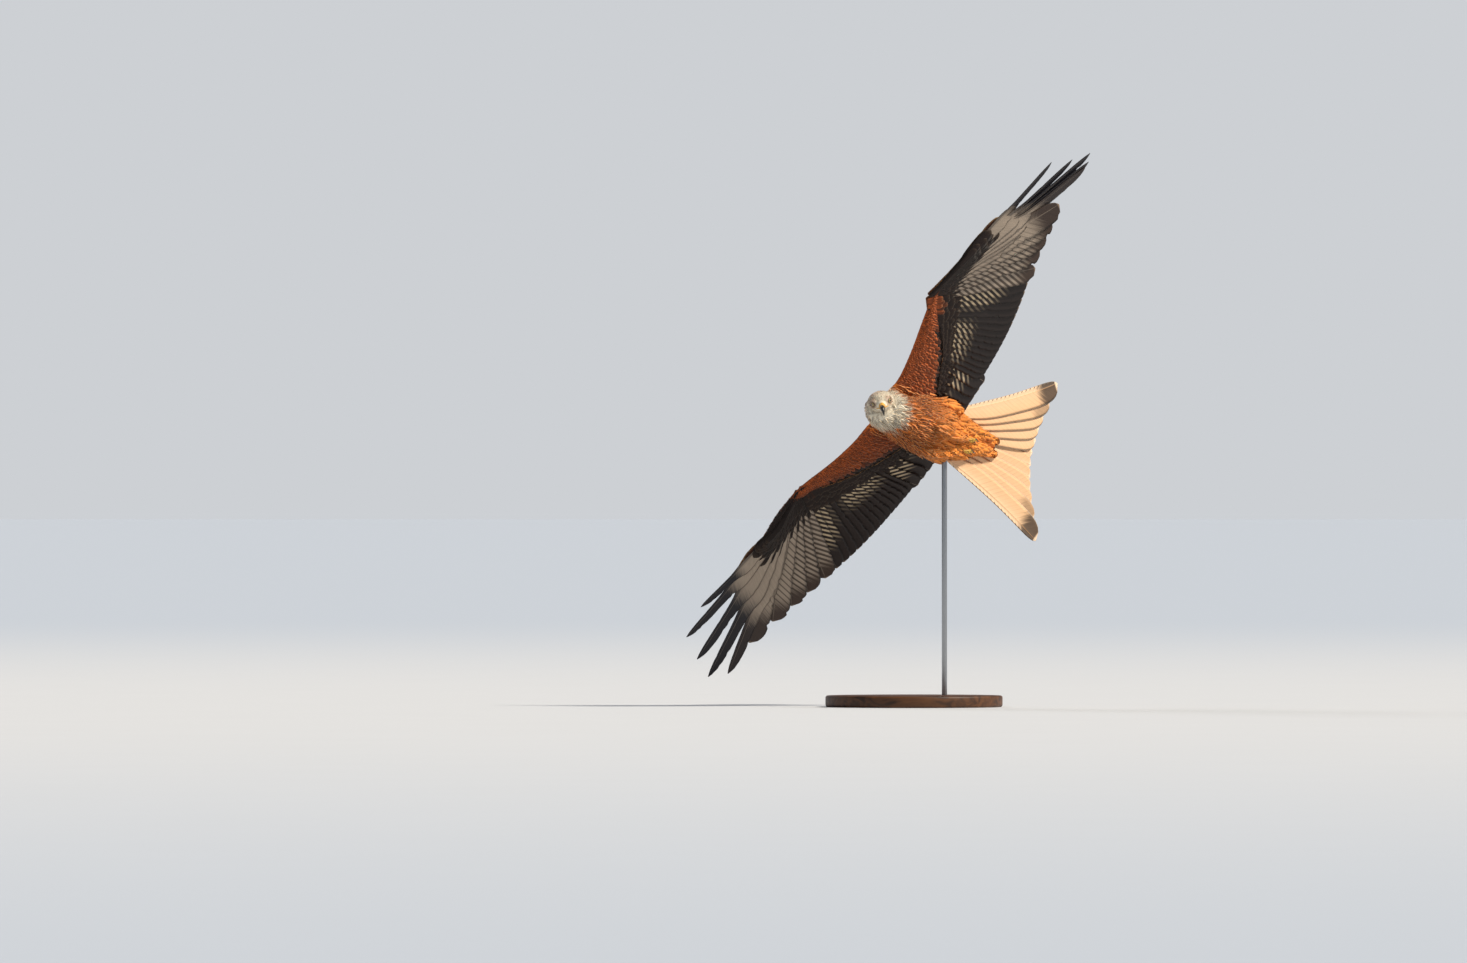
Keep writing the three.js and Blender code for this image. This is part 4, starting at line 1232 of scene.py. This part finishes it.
def covert_rows(wing, under, rng):
    """Root, angle, length, level, width and row of each covert of one face of a wing."""
    quills = flight_feathers(wing)
    found = []
    for n, row in enumerate(COVERT_ROWS):
        back, level = row["back"], row["under"] if under else row["over"]
        for kind in (0, 1, 2):
            group = quills[quills[:, 6] == kind]
            count = max(3, int(len(group) * (1 + n * ROW_CROWDING)) + 1)
            share = row["share"][kind if under else 2]
            numbers = np.arange(len(group))
            for w in np.linspace(0, len(group) - 1, count):
                x, y, angle, long, _, up = (np.interp(w, numbers, group[:, c]) for c in range(6))
                turned = angle + rng.normal(0, 0.015)
                length = (long * share + back) * rng.uniform(0.92, 1.08)
                root = (x - back * math.cos(angle), y - back * math.sin(angle))
                found.append((*root, turned, length, up + level, row["width"], n))
    found = np.array(found)
    return found[:, :2], *found[:, 2:].T


def covert_vanes(wing, under, rng):
    roots, angles, lengths, levels, widths, row = covert_rows(wing, under, rng)
    t = np.linspace(0, 1, COVERT_STATIONS)[None]
    at, side, up = lay_on_wing(wing, roots, angles, lengths, levels, t)
    share = worn(outline(SHORT, t) * np.ones((len(roots), 1)), rng, 0.03, 1)
    trail = widths[:, None] * share * (1 - COVERT_LEAD)
    room = (edge_of(wing, roots[:, 0]) - 4 - roots[:, 1]) * np.clip(np.cos(angles), 0.5, 1)
    near_root = np.maximum(1.0, room)[:, None] + 60 * t
    lead = np.minimum(widths[:, None] * share * COVERT_LEAD, near_root)
    face = -1 if under else 1
    normals = np.tile([0.0, 0.0, face], (len(roots), 1))
    marks, tufts = wing_marks(wing, at[:, 8], normals)
    if not under:
        marks[:, 2] = mixed(0.9, 0.62, step(0, 3, row))
    count = len(roots)
    return dict(
        at=at, side=side, up=up, lead=lead, trail=trail, part=t, thick=np.full_like(lead, 0.45),
        ridge=0.25, bow=trail * 0.1 * face, length=lengths,
        tuft=np.concatenate([tufts, rng.random((count, 1))], axis=1), mark=marks,
        bake=wing_unwrap(at[:, 0], normals), patch=np.full((count, 2), SMALL_PATCH),
    )


for wing in (LEFT, RIGHT):
    for under in (True, False):
        face_name = "under" if under else "over"
        shafts = covert_vanes(wing, under, np.random.default_rng(41 + wing["sign"] + 3 * under))
        piece = vanes(f"wing_{wing['name']}_coverts_{face_name}", shafts, plumage, COVERT_LANES)
        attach(piece, "root")

# %% [markdown]
# The flesh of the arm and hand is covered by small round-tipped lesser coverts on both faces.
# They are scattered over the skin like the body feathers, smallest along the leading edge.

# %% Lesser coverts on the flesh of the wings
def wing_wanted(sign):
    return lambda p, normals: (regions(p)[1] >= 0.5) & (np.sign(p[:, 0]) == sign)


def behind_edge(wing, p):
    return edge_of(wing, np.abs(p[:, 0])) - p[:, 1]


def covert_gap(p):
    behind = np.where(p[:, 0] < 0, behind_edge(LEFT, p), behind_edge(RIGHT, p))
    return mixed(3.0, 6.0, step(4, 50, behind))


for wing in (LEFT, RIGHT):
    rng = np.random.default_rng(51 + wing["sign"])
    grown = scatter(covert_gap, wing_wanted(wing["sign"]), 53 + wing["sign"])
    roots = grown[0]
    size = mixed(9, 25, step(2, 50, behind_edge(wing, roots))) * rng.uniform(0.88, 1.12, len(roots))
    size *= mixed(1, 0.7, step(280, 380, np.abs(roots[:, 0])))
    name = f"wing_{wing['name']}_lesser_coverts"
    piece = coat(name, grown, size, size * 0.55, size * 0.1 + 0.7, rng, wing_unwrap, ROUND_TIP)

# %% [markdown]
# ## The tail
# Twelve feathers make the forked fan, twisted against the body as a kite steers. The middle pair
# lies on top and each further one lies under the one before. Below, the tail is pale peach with
# faint bars and dusky corners, and above it is the bright rufous that gives the bird its name.

# %% The tail finish
TAIL_PAIRS = 6
TAIL_BAR_SPACING = 13.0
TAIL_BELOW, TAIL_BELOW_BAR, TAIL_EDGE_BAR = ("#e3b689", "#ecc9a4"), "#8a5f43", "#2c211c"
TAIL_ABOVE, TAIL_ABOVE_BAR = "#b35f2c", "#5b2c17"
TAIL_DUSK, TAIL_RIM, TAIL_SHAFT = "#2f241f", "#fbe8d0", "#cf9a63"


def tail_color(tree):
    pair, _, _ = split(tree, "tuft")
    t, w, face = split(tree, "blade")
    barb = attribute(tree, "barb").outputs["Fac"]
    parts = use_group(tree, FEATHER)
    wave = calc(tree, "SINE", times(tree, barb, 2 * math.pi / TAIL_BAR_SPACING))
    outer_pair = between(tree, pair, TAIL_PAIRS - 1.5, TAIL_PAIRS - 0.5)
    bars = times(tree, between(tree, wave, 0.72, 0.97), between(tree, parts["Streaks"], 0.4, 0.6))
    below = mix(tree, between(tree, w, -1.0, 1.0), *TAIL_BELOW)
    below = mix(tree, times(tree, bars, 0.25), below, TAIL_BELOW_BAR)
    edge_bars = times(tree, between(tree, wave, 0.5, 0.85), between(tree, w, 0.55, 0.75))
    below = mix(tree, times(tree, edge_bars, times(tree, outer_pair, 0.8)), below, TAIL_EDGE_BAR)
    above = mix(tree, times(tree, bars, 0.5), TAIL_ABOVE, TAIL_ABOVE_BAR)
    color = mix(tree, between(tree, face, -0.5, 0.5), below, above)
    reach = line(tree, parts["Streaks"], 0.12, t)
    dusk = times(tree, between(tree, reach, 0.84, 0.93), outer_pair)
    dusk = times(tree, dusk, between(tree, t, 0.99, 0.97))
    color = mix(tree, times(tree, dusk, 0.9), color, TAIL_DUSK)
    side = calc(tree, "ABSOLUTE", w)
    rim = calc(tree, "MAXIMUM", between(tree, side, 0.93, 1.0), between(tree, t, 0.97, 0.99))
    color = mix(tree, times(tree, rim, 0.55), color, TAIL_RIM)
    color = mix(tree, times(tree, parts["Shaft"], 0.5), color, TAIL_SHAFT)
    return dimmed(tree, color, line(tree, parts["Streaks"], 0.3, 0.85))


tail_finish = finish("tail feathers", tail_color, 0.55, barb_bump, 0.00025, Specular_IOR_Level=0.35)

# %% Tail feathers
TAIL_FAN, TAIL_ROOT_HALF, TAIL_BEND = {-1: 25, 1: 22}, {-1: 48, 1: 59}, 0.00066
TAIL_LENGTHS, TAIL_POWER, TAIL_WIDTH = (260, 329), 2.4, 48
TAIL_LEVELS = [1.6, -1, -1.3, -1.6, -1.9, -2.2]
TAIL_LEFT_OVER = 1.2
TAIL_LEAD = (0.46, 0.24)


def summed(steps):
    return np.concatenate([[0], np.cumsum(steps[:-1])])


def tail_shafts(rng):
    """Both halves of the fan, each from the middle pair outwards."""
    t = np.linspace(0, 1, FLIGHT_STATIONS)
    at, side, up, lead, trail, length, tuft = [], [], [], [], [], [], []
    for sign in (-1, 1):
        for pair in range(1, TAIL_PAIRS + 1):
            f = (pair - 0.5) / (TAIL_PAIRS - 0.5)
            far = mixed(*TAIL_LENGTHS, f**TAIL_POWER)
            angle = f * (math.radians(TAIL_FAN[sign]) + TAIL_BEND * far * (t - 0.5))
            stride = far / (FLIGHT_STATIONS - 1)
            x = TAIL_ROOT_HALF[sign] * f + summed(stride * np.sin(angle))
            back = summed(stride * np.cos(angle))
            tilt = 0 if pair == 1 else VANE_TILT / 2
            level = TAIL_LEVELS[pair - 1] + (TAIL_LEFT_OVER if pair == 1 and sign < 0 else 0)
            flat = rows(sign * np.cos(angle), np.sin(angle), 0.0)
            share = mixed(*TAIL_LEAD, (pair - 1) / (TAIL_PAIRS - 1))
            at.append(tail_point(sign * x, back, level))
            side.append((flat * math.cos(tilt) + [0, 0, math.sin(tilt)]) @ TAIL_TURN.T)
            up.append((np.array([0, 0, math.cos(tilt)]) - flat * math.sin(tilt)) @ TAIL_TURN.T)
            width = TAIL_WIDTH * outline(BLUNT, t)
            lead.append(width * share)
            trail.append(width * (1 - share))
            length.append(far)
            tuft.append((pair, sign, rng.random()))
    at, side, up, lead, trail = (np.array(x) for x in (at, side, up, lead, trail))
    return dict(
        at=at, side=side, up=up, lead=lead, trail=worn(trail, rng, 0.005, 0), part=t[None],
        thick=np.full_like(lead, 0.5), ridge=0.5, bow=trail * 0.04, length=np.array(length, float),
        tuft=np.array(tuft, float), **long_maps(len(length)),
    )


tail = vanes("tail_feathers", tail_shafts(np.random.default_rng(61)), tail_finish, FLIGHT_LANES)
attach(tail, "root")
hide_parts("tail")

# %% [markdown]
# ## Eyes and lids
# A kite's eye is pale amber with a round black pupil. The ball is a sphere whose front swells a
# little where the cornea is, and two lids ring it. The iris is painted by the angle from the
# eye's own axis, so it stays round from every side.

# %% Eye and lid finishes
def eye_color(tree):
    angle = attribute(tree, "gaze").outputs["Fac"]
    spokes = noise(tree, place(tree), 900.0, detail=2.0)
    iris = mix(tree, spokes, "#a98235", "#d2b768")
    iris = mix(tree, between(tree, angle, 0.6, 0.74), iris, "#3a2912")
    eye = mix(tree, between(tree, angle, 0.38, 0.42), "#050505", iris)
    return mix(tree, between(tree, angle, 0.8, 0.86), eye, "#120d0a")


eye_finish = finish("eye", eye_color, 0.08, Coat_Weight=1.0, Coat_Roughness=0.02, Specular_IOR_Level=0.6)
lid_finish = speckled("lid skin", 700.0, "#4b443b", "#7d6f4c", 0.55, 1800.0, 0.0002)

# %% Eyeballs and lids
LID = dict(major_radius=5.0, minor_radius=1.3, major_segments=48, minor_segments=14)
LID_OUT, LID_NARROW, LID_CURVE, CORNEA = 4.3, 0.86, 0.05, 0.5


def settle(piece):
    """Writes the place of a finished piece into its mesh, turned from the bird's frame to the scene's."""
    piece.data.transform(piece.matrix_world)
    piece.matrix_world = Matrix.Identity(4)
    piece.data.transform(TO_SCENE)
    piece.data.shade_smooth()
    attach(piece, "root")
    print(piece.name, len(piece.data.polygons), "faces")


for sign, side_name in ((-1, "left"), (1, "right")):
    centre = eye_centre(sign)
    outward = gaze_of(sign)
    bpy.ops.object.select_all(action="DESELECT")
    bpy.ops.mesh.primitive_uv_sphere_add(segments=48, ring_count=32, radius=EYE["radius"], location=centre)
    ball = bpy.context.object
    ball.name = f"eyeball_{side_name}"
    ball.data.transform(Vector((0, 0, 1)).rotation_difference(Vector(outward)).to_matrix().to_4x4())
    rim = np.array([v.co for v in ball.data.vertices])
    gaze = np.arccos(np.clip(unit(rim) @ outward, -1, 1))
    for vertex, angle in zip(ball.data.vertices, gaze):
        vertex.co += Vector(outward) * CORNEA * float(step(0.85, 0.2, angle))
    tell(ball.data, gaze=gaze)
    ball.data.materials.append(eye_finish)
    settle(ball)
    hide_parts(f"eye_{side_name}")
    bpy.ops.object.select_all(action="DESELECT")
    bpy.ops.mesh.primitive_torus_add(**LID)
    lid = bpy.context.object
    lid.name = f"lids_{side_name}"
    for vertex in lid.data.vertices:
        vertex.co.y *= LID_NARROW
        vertex.co.z -= LID_CURVE * vertex.co.x**2 / 2
    frame_x = unit(LOOK - (LOOK @ outward) * outward)
    frame_y = np.cross(outward, frame_x)
    turn = Matrix([[frame_x[k], frame_y[k], outward[k]] for k in range(3)]).to_4x4()
    lid.data.transform(Matrix.Translation(centre + outward * LID_OUT) @ turn)
    lid.data.materials.append(lid_finish)
    settle(lid)

# %% [markdown]
# ## Bill
# The bill is a yellow cere, a hooked upper half and a shorter lower half. Each is a sleeve of
# ovals. A fleshy yellow gape is joined to the cere and runs back under each eye, and nostrils
# are cut with a boolean.

# %% Horn and cere finishes
def horn_color(tree):
    streaks = noise(tree, place(tree), 420.0, detail=4.0, distortion=0.4)
    return mix(tree, streaks, "#1b1917", "#3a352f")


def horn_bump(tree):
    return noise(tree, place(tree), 1500.0)


horn_finish = finish("horn", horn_color, 0.28, horn_bump, 0.00012, Coat_Weight=0.25)
cere_finish = speckled("cere", 500.0, "#d2922a", "#e6b24c", 0.42, 1600.0, 0.0002, detail=4.0)

# %% Bill pieces
CERE = [(-6, 0, 7.6, 8.2, 1.6), (5, 0.4, 6.6, 7.4, 1.4), (10, 1.2, 5.6, 6.6, 1.4)]
HOOK = [
    (9.4, 1.2, 5.5, 6.5, 1.4), (16, 2.6, 4.5, 6, 2), (21, 5.6, 3.4, 5.2, 2.6), (24.5, 10, 2.3, 4, 2.4),
    (25.8, 15, 0.8, 1.6, 1.2),
]
LOWER_BILL = [(-6, 4.6, 7.2, 2.6, 3.6), (8, 5, 5.6, 2.4, 3), (15, 6.6, 3.8, 2, 2.4), (19, 8.6, 1.4, 0.8, 0.9)]
GAPE = [(32, 5.6, -2.6), (25, 9.2, -4), (17, 14.5, -4.6), (9, 18.6, -4.2)]
NOSTRIL, NOSTRIL_RADIUS = (31, 6.4, 3), 1.5


def bill_rings(stops, count):
    stops = np.array(stops, float)
    k = np.arange(len(stops))
    fine = np.linspace(0, len(stops) - 1, count)
    s, drop, wide, up, down = (smooth(k, stops[:, c], fine) for c in range(5))
    return [
        oval(head_point(BILL_FACE + s[n], 0, -drop[n]), HEAD_SIDE, CROWN, wide[n], up[n], down[n], 28)
        for n in range(count)
    ]


def bill_piece(name, stops, count, material, node):
    piece = sleeve(name, bill_rings(stops, count))
    piece.data.materials.append(material)
    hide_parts(node)
    return piece


upper = bill_piece("bill_hook", HOOK, 14, horn_finish, "bill_upper")
lower = bill_piece("bill_under", LOWER_BILL, 10, horn_finish, "bill_lower")
cere = bill_piece("cere_skin", CERE, 8, cere_finish, "cere")
gapes = []
for sign in (-1, 1):
    stops = [head_point(s, sign * x, u) for s, x, u in GAPE]
    gapes.append(sleeve("gape", along_path(stops, [1.1, 1.1, 0.8, 0.4], 12, 12)))
    gapes[-1].data.materials.append(cere_finish)
cere = join([cere, *gapes], "cere_skin")
for sign in (-1, 1):
    bpy.ops.object.select_all(action="DESELECT")
    spot = head_point(NOSTRIL[0], sign * NOSTRIL[1], NOSTRIL[2])
    bpy.ops.mesh.primitive_uv_sphere_add(segments=16, ring_count=10, radius=NOSTRIL_RADIUS, location=spot)
    pit = bpy.context.object
    apply(cere, "BOOLEAN", operation="DIFFERENCE", object=pit, solver="EXACT")
    bpy.data.objects.remove(pit)
for piece in (upper, lower, cere):
    settle(piece)

# %% [markdown]
# ## Feet
# The legs are folded back under the tail. The lower leg and toes are yellow and covered in
# plates, and each toe ends in a curved black claw.

# %% Scaly skin finish
def scales(tree):
    cells = tree.nodes.new("ShaderNodeTexVoronoi")
    cells.inputs["Scale"].default_value = 520.0
    put(cells.inputs["Vector"], place(tree), tree)
    return cells.outputs["Distance"]


def scale_color(tree):
    return mix(tree, between(tree, scales(tree), 0.35, 0.6), "#e2b33f", "#9c6f22")


def scale_bump(tree):
    return calc(tree, "SUBTRACT", 1.0, scales(tree))


foot_finish = finish("scaly skin", scale_color, 0.5, scale_bump, 0.0004)

# %% Feet and claws
TOES = [(-9, 26, 3), (0, 32, 3.1), (9, 26, 3), (176, 15, 3)]
TOE_RISE = 0.42
TOE_LINE = [(0, 0), (0.3, 1.5), (0.6, 2.8), (0.95, 2.5), (1.02, 4)]
CLAW_LINE = [(1.0, 2.8), (1.12, 4), (1.22, 6.5), (1.26, 9.5)]


def toe_stops(ankle, way, length, bend):
    return [ankle + way * length * part - [0, 0, drop] for part, drop in bend]


for sign, side_name in ((-1, "left"), (1, "right")):
    shank = [
        (6 + sign * 18, -86, -54), (7 + sign * 15, -104, -46 - sign * 3),
        (8 + sign * 13, -124, -40 - sign * 4),
    ]
    ankle = np.array(shank[-1], float)
    scaly = [sleeve("shank", along_path(shank, [3.4, 3.2, 3.6], 16, 12))]
    claws = []
    for spread, length, radius in TOES:
        turn = math.radians(spread)
        way = unit(np.array([math.sin(turn), -math.cos(turn), math.cos(turn) * TOE_RISE]))
        radii = [radius, radius * 0.9, radius, radius * 0.85, 1.6]
        scaly.append(sleeve("toe", along_path(toe_stops(ankle, way, length, TOE_LINE), radii, 14, 14)))
        stops = toe_stops(ankle, way, length, CLAW_LINE)
        claws.append(sleeve("claw", along_path(stops, [1.7, 1.4, 0.9, 0.25], 12, 10)))
    foot = join(scaly, f"foot_skin_{side_name}")
    foot.data.materials.append(foot_finish)
    settle(foot)
    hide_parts(f"foot_{side_name}")
    claw = join(claws, f"claws_{side_name}")
    claw.data.materials.append(horn_finish)
    settle(claw)

# %% [markdown]
# ## The stand
# A museum stand is plain: a turned wooden base with an eased edge, and a brushed steel rod whose
# top hides in the flank. Both keep the solids' sizes.

# %% Wood and steel finishes
def wood_color(tree):
    spot = tree.nodes.new("ShaderNodeMapping")
    spot.inputs["Scale"].default_value = (1.0, 9.0, 9.0)
    put(spot.inputs["Vector"], place(tree), tree)
    grain = noise(tree, spot.outputs[0], 6.0, detail=6.0, distortion=1.2)
    fine = noise(tree, spot.outputs[0], 60.0, detail=4.0)
    color = mix(tree, between(tree, grain, 0.3, 0.7), "#3a2415", "#6b4427")
    return mix(tree, times(tree, fine, 0.35), color, "#24150c")


def wood_bump(tree):
    return noise(tree, place(tree), 300.0)


wood = finish("walnut", wood_color, 0.52, wood_bump, 0.0001, Specular_IOR_Level=0.35)
steel = speckled("brushed steel", 500.0, "#8f9295", "#b4b7ba", 0.32, 1800.0, 0.00005, Metallic=1.0)

# %% Base and rod
BASE_RADIUS, BASE_HEIGHT, BASE_EDGE = 0.2, 0.026, 0.005
ROD_RADIUS, ROD_AT, ROD_GAP, ROD_SHORT = 0.006, (0.069, 0.026), 0.0003, 0.066


def turned_piece(name, radius, low, high, sides, bevel, at, material, node, slot):
    bpy.ops.object.select_all(action="DESELECT")
    middle = (at[0], at[1], (low + high) / 2)
    bpy.ops.mesh.primitive_cylinder_add(vertices=sides, radius=radius, depth=high - low, location=middle)
    piece = bpy.context.object
    piece.name = name
    bpy.ops.object.transform_apply(location=True)
    apply(piece, "BEVEL", width=bevel, segments=4, limit_method="ANGLE", angle_limit=0.8)
    bpy.ops.object.shade_smooth_by_angle(angle=0.6)
    piece.data.materials.append(material)
    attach(piece, "root")
    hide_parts(node)
    print(name, len(piece.data.polygons), "faces")


turned_piece("base", BASE_RADIUS, 0, BASE_HEIGHT, 128, BASE_EDGE, (0, 0), wood, "stand_base", "stand_wood")
rod_ends = (BASE_HEIGHT + ROD_GAP, BIRD_HEIGHT - ROD_SHORT)
turned_piece("rod", ROD_RADIUS, *rod_ends, 48, 0.001, ROD_AT, steel, "stand_rod", "stand_steel")

# %% [markdown]
# ## Studio and camera
# The floor is plain and pale. A wide warm sun lamp stands at the upper right, as the sun does in
# the photo, a faint cool one lights the back, and the walls are dimmer above and below the level
# of the eye, so that shade stays deep.

# %% Floor and light
FLOOR_SIZE = 400
WALL_BAND = (0.06, 0.24)

bpy.ops.object.select_all(action="DESELECT")
bpy.ops.mesh.primitive_plane_add(size=FLOOR_SIZE, location=(0, 0, 0))
floor = bpy.context.object
floor.name = "floor"


def floor_color(tree):
    far = tree.nodes.new("ShaderNodeVectorMath")
    far.operation = "LENGTH"
    put(far.inputs[0], place(tree), tree)
    fine = noise(tree, place(tree), 3.0)
    near = mix(tree, fine, "#cacbcd", "#cdced0")
    return mix(tree, between(tree, far.outputs["Value"], 1.5, 26.0), near, "#b6bdc7")


floor.data.materials.append(finish("pale floor", floor_color, 0.9, Specular_IOR_Level=0.1))


def studio_world():
    """Pale walls at the level of the eye and dimmer above and below, so that shade stays deep."""
    world = bpy.data.worlds.new("studio")
    world.use_nodes = True
    tree = world.node_tree
    way = tree.nodes.new("ShaderNodeTexCoord").outputs["Generated"]
    parts = tree.nodes.new("ShaderNodeSeparateXYZ")
    put(parts.inputs[0], way, tree)
    rise = calc(tree, "ABSOLUTE", parts.outputs[2])
    background = tree.nodes["Background"]
    put(background.inputs[0], mix(tree, between(tree, rise, *WALL_BAND), "#cdd0d4", "#5f6977"), tree)
    background.inputs[1].default_value = 1.0
    return world


bpy.context.scene.world = studio_world()


def sunlight(name, toward, strength, angle, color):
    """A far lamp that stands in the direction given, as wide as the angle."""
    bpy.ops.object.light_add(type="SUN", location=Vector(toward) * 3)
    lamp = bpy.context.object
    lamp.name = name
    lamp.data.energy = strength
    lamp.data.angle = math.radians(angle)
    lamp.data.color = color
    lamp.rotation_euler = Vector(toward).to_track_quat("Z", "Y").to_euler()
    print(name, "lamp of", strength)


sunlight("key", (0.66, -0.22, 0.69), 4.7, 8, (1.0, 0.93, 0.82))
sunlight("back", (-0.5, 0.7, 0.5), 0.9, 25, (0.95, 0.97, 1.0))

# %% [markdown]
# The photo was taken with a long lens, so the camera looks level at the bird from far away. The
# bird's own origin falls on the same spot of the frame as in the photo, at the same scale.

# %% Camera
FRAME_WIDTH, FRAME_HEIGHT = 1467, 963
ORIGIN_PIXEL = (914, 419)
PIXELS_PER_METRE = 443
DISTANCE = 40.0
SENSOR = 36.0

bpy.ops.object.camera_add()
camera = bpy.context.object
aim_x = -(ORIGIN_PIXEL[0] - FRAME_WIDTH / 2) / PIXELS_PER_METRE
aim_z = BIRD_HEIGHT + (ORIGIN_PIXEL[1] - FRAME_HEIGHT / 2) / PIXELS_PER_METRE
camera.location = (aim_x, -DISTANCE, aim_z)
camera.rotation_euler = (math.radians(90), 0, 0)
camera.data.sensor_width = SENSOR
camera.data.lens = SENSOR * DISTANCE / (FRAME_WIDTH / PIXELS_PER_METRE)
bpy.context.scene.camera = camera
bpy.context.scene.view_settings.view_transform = "Standard"
print("lens", round(camera.data.lens, 1))
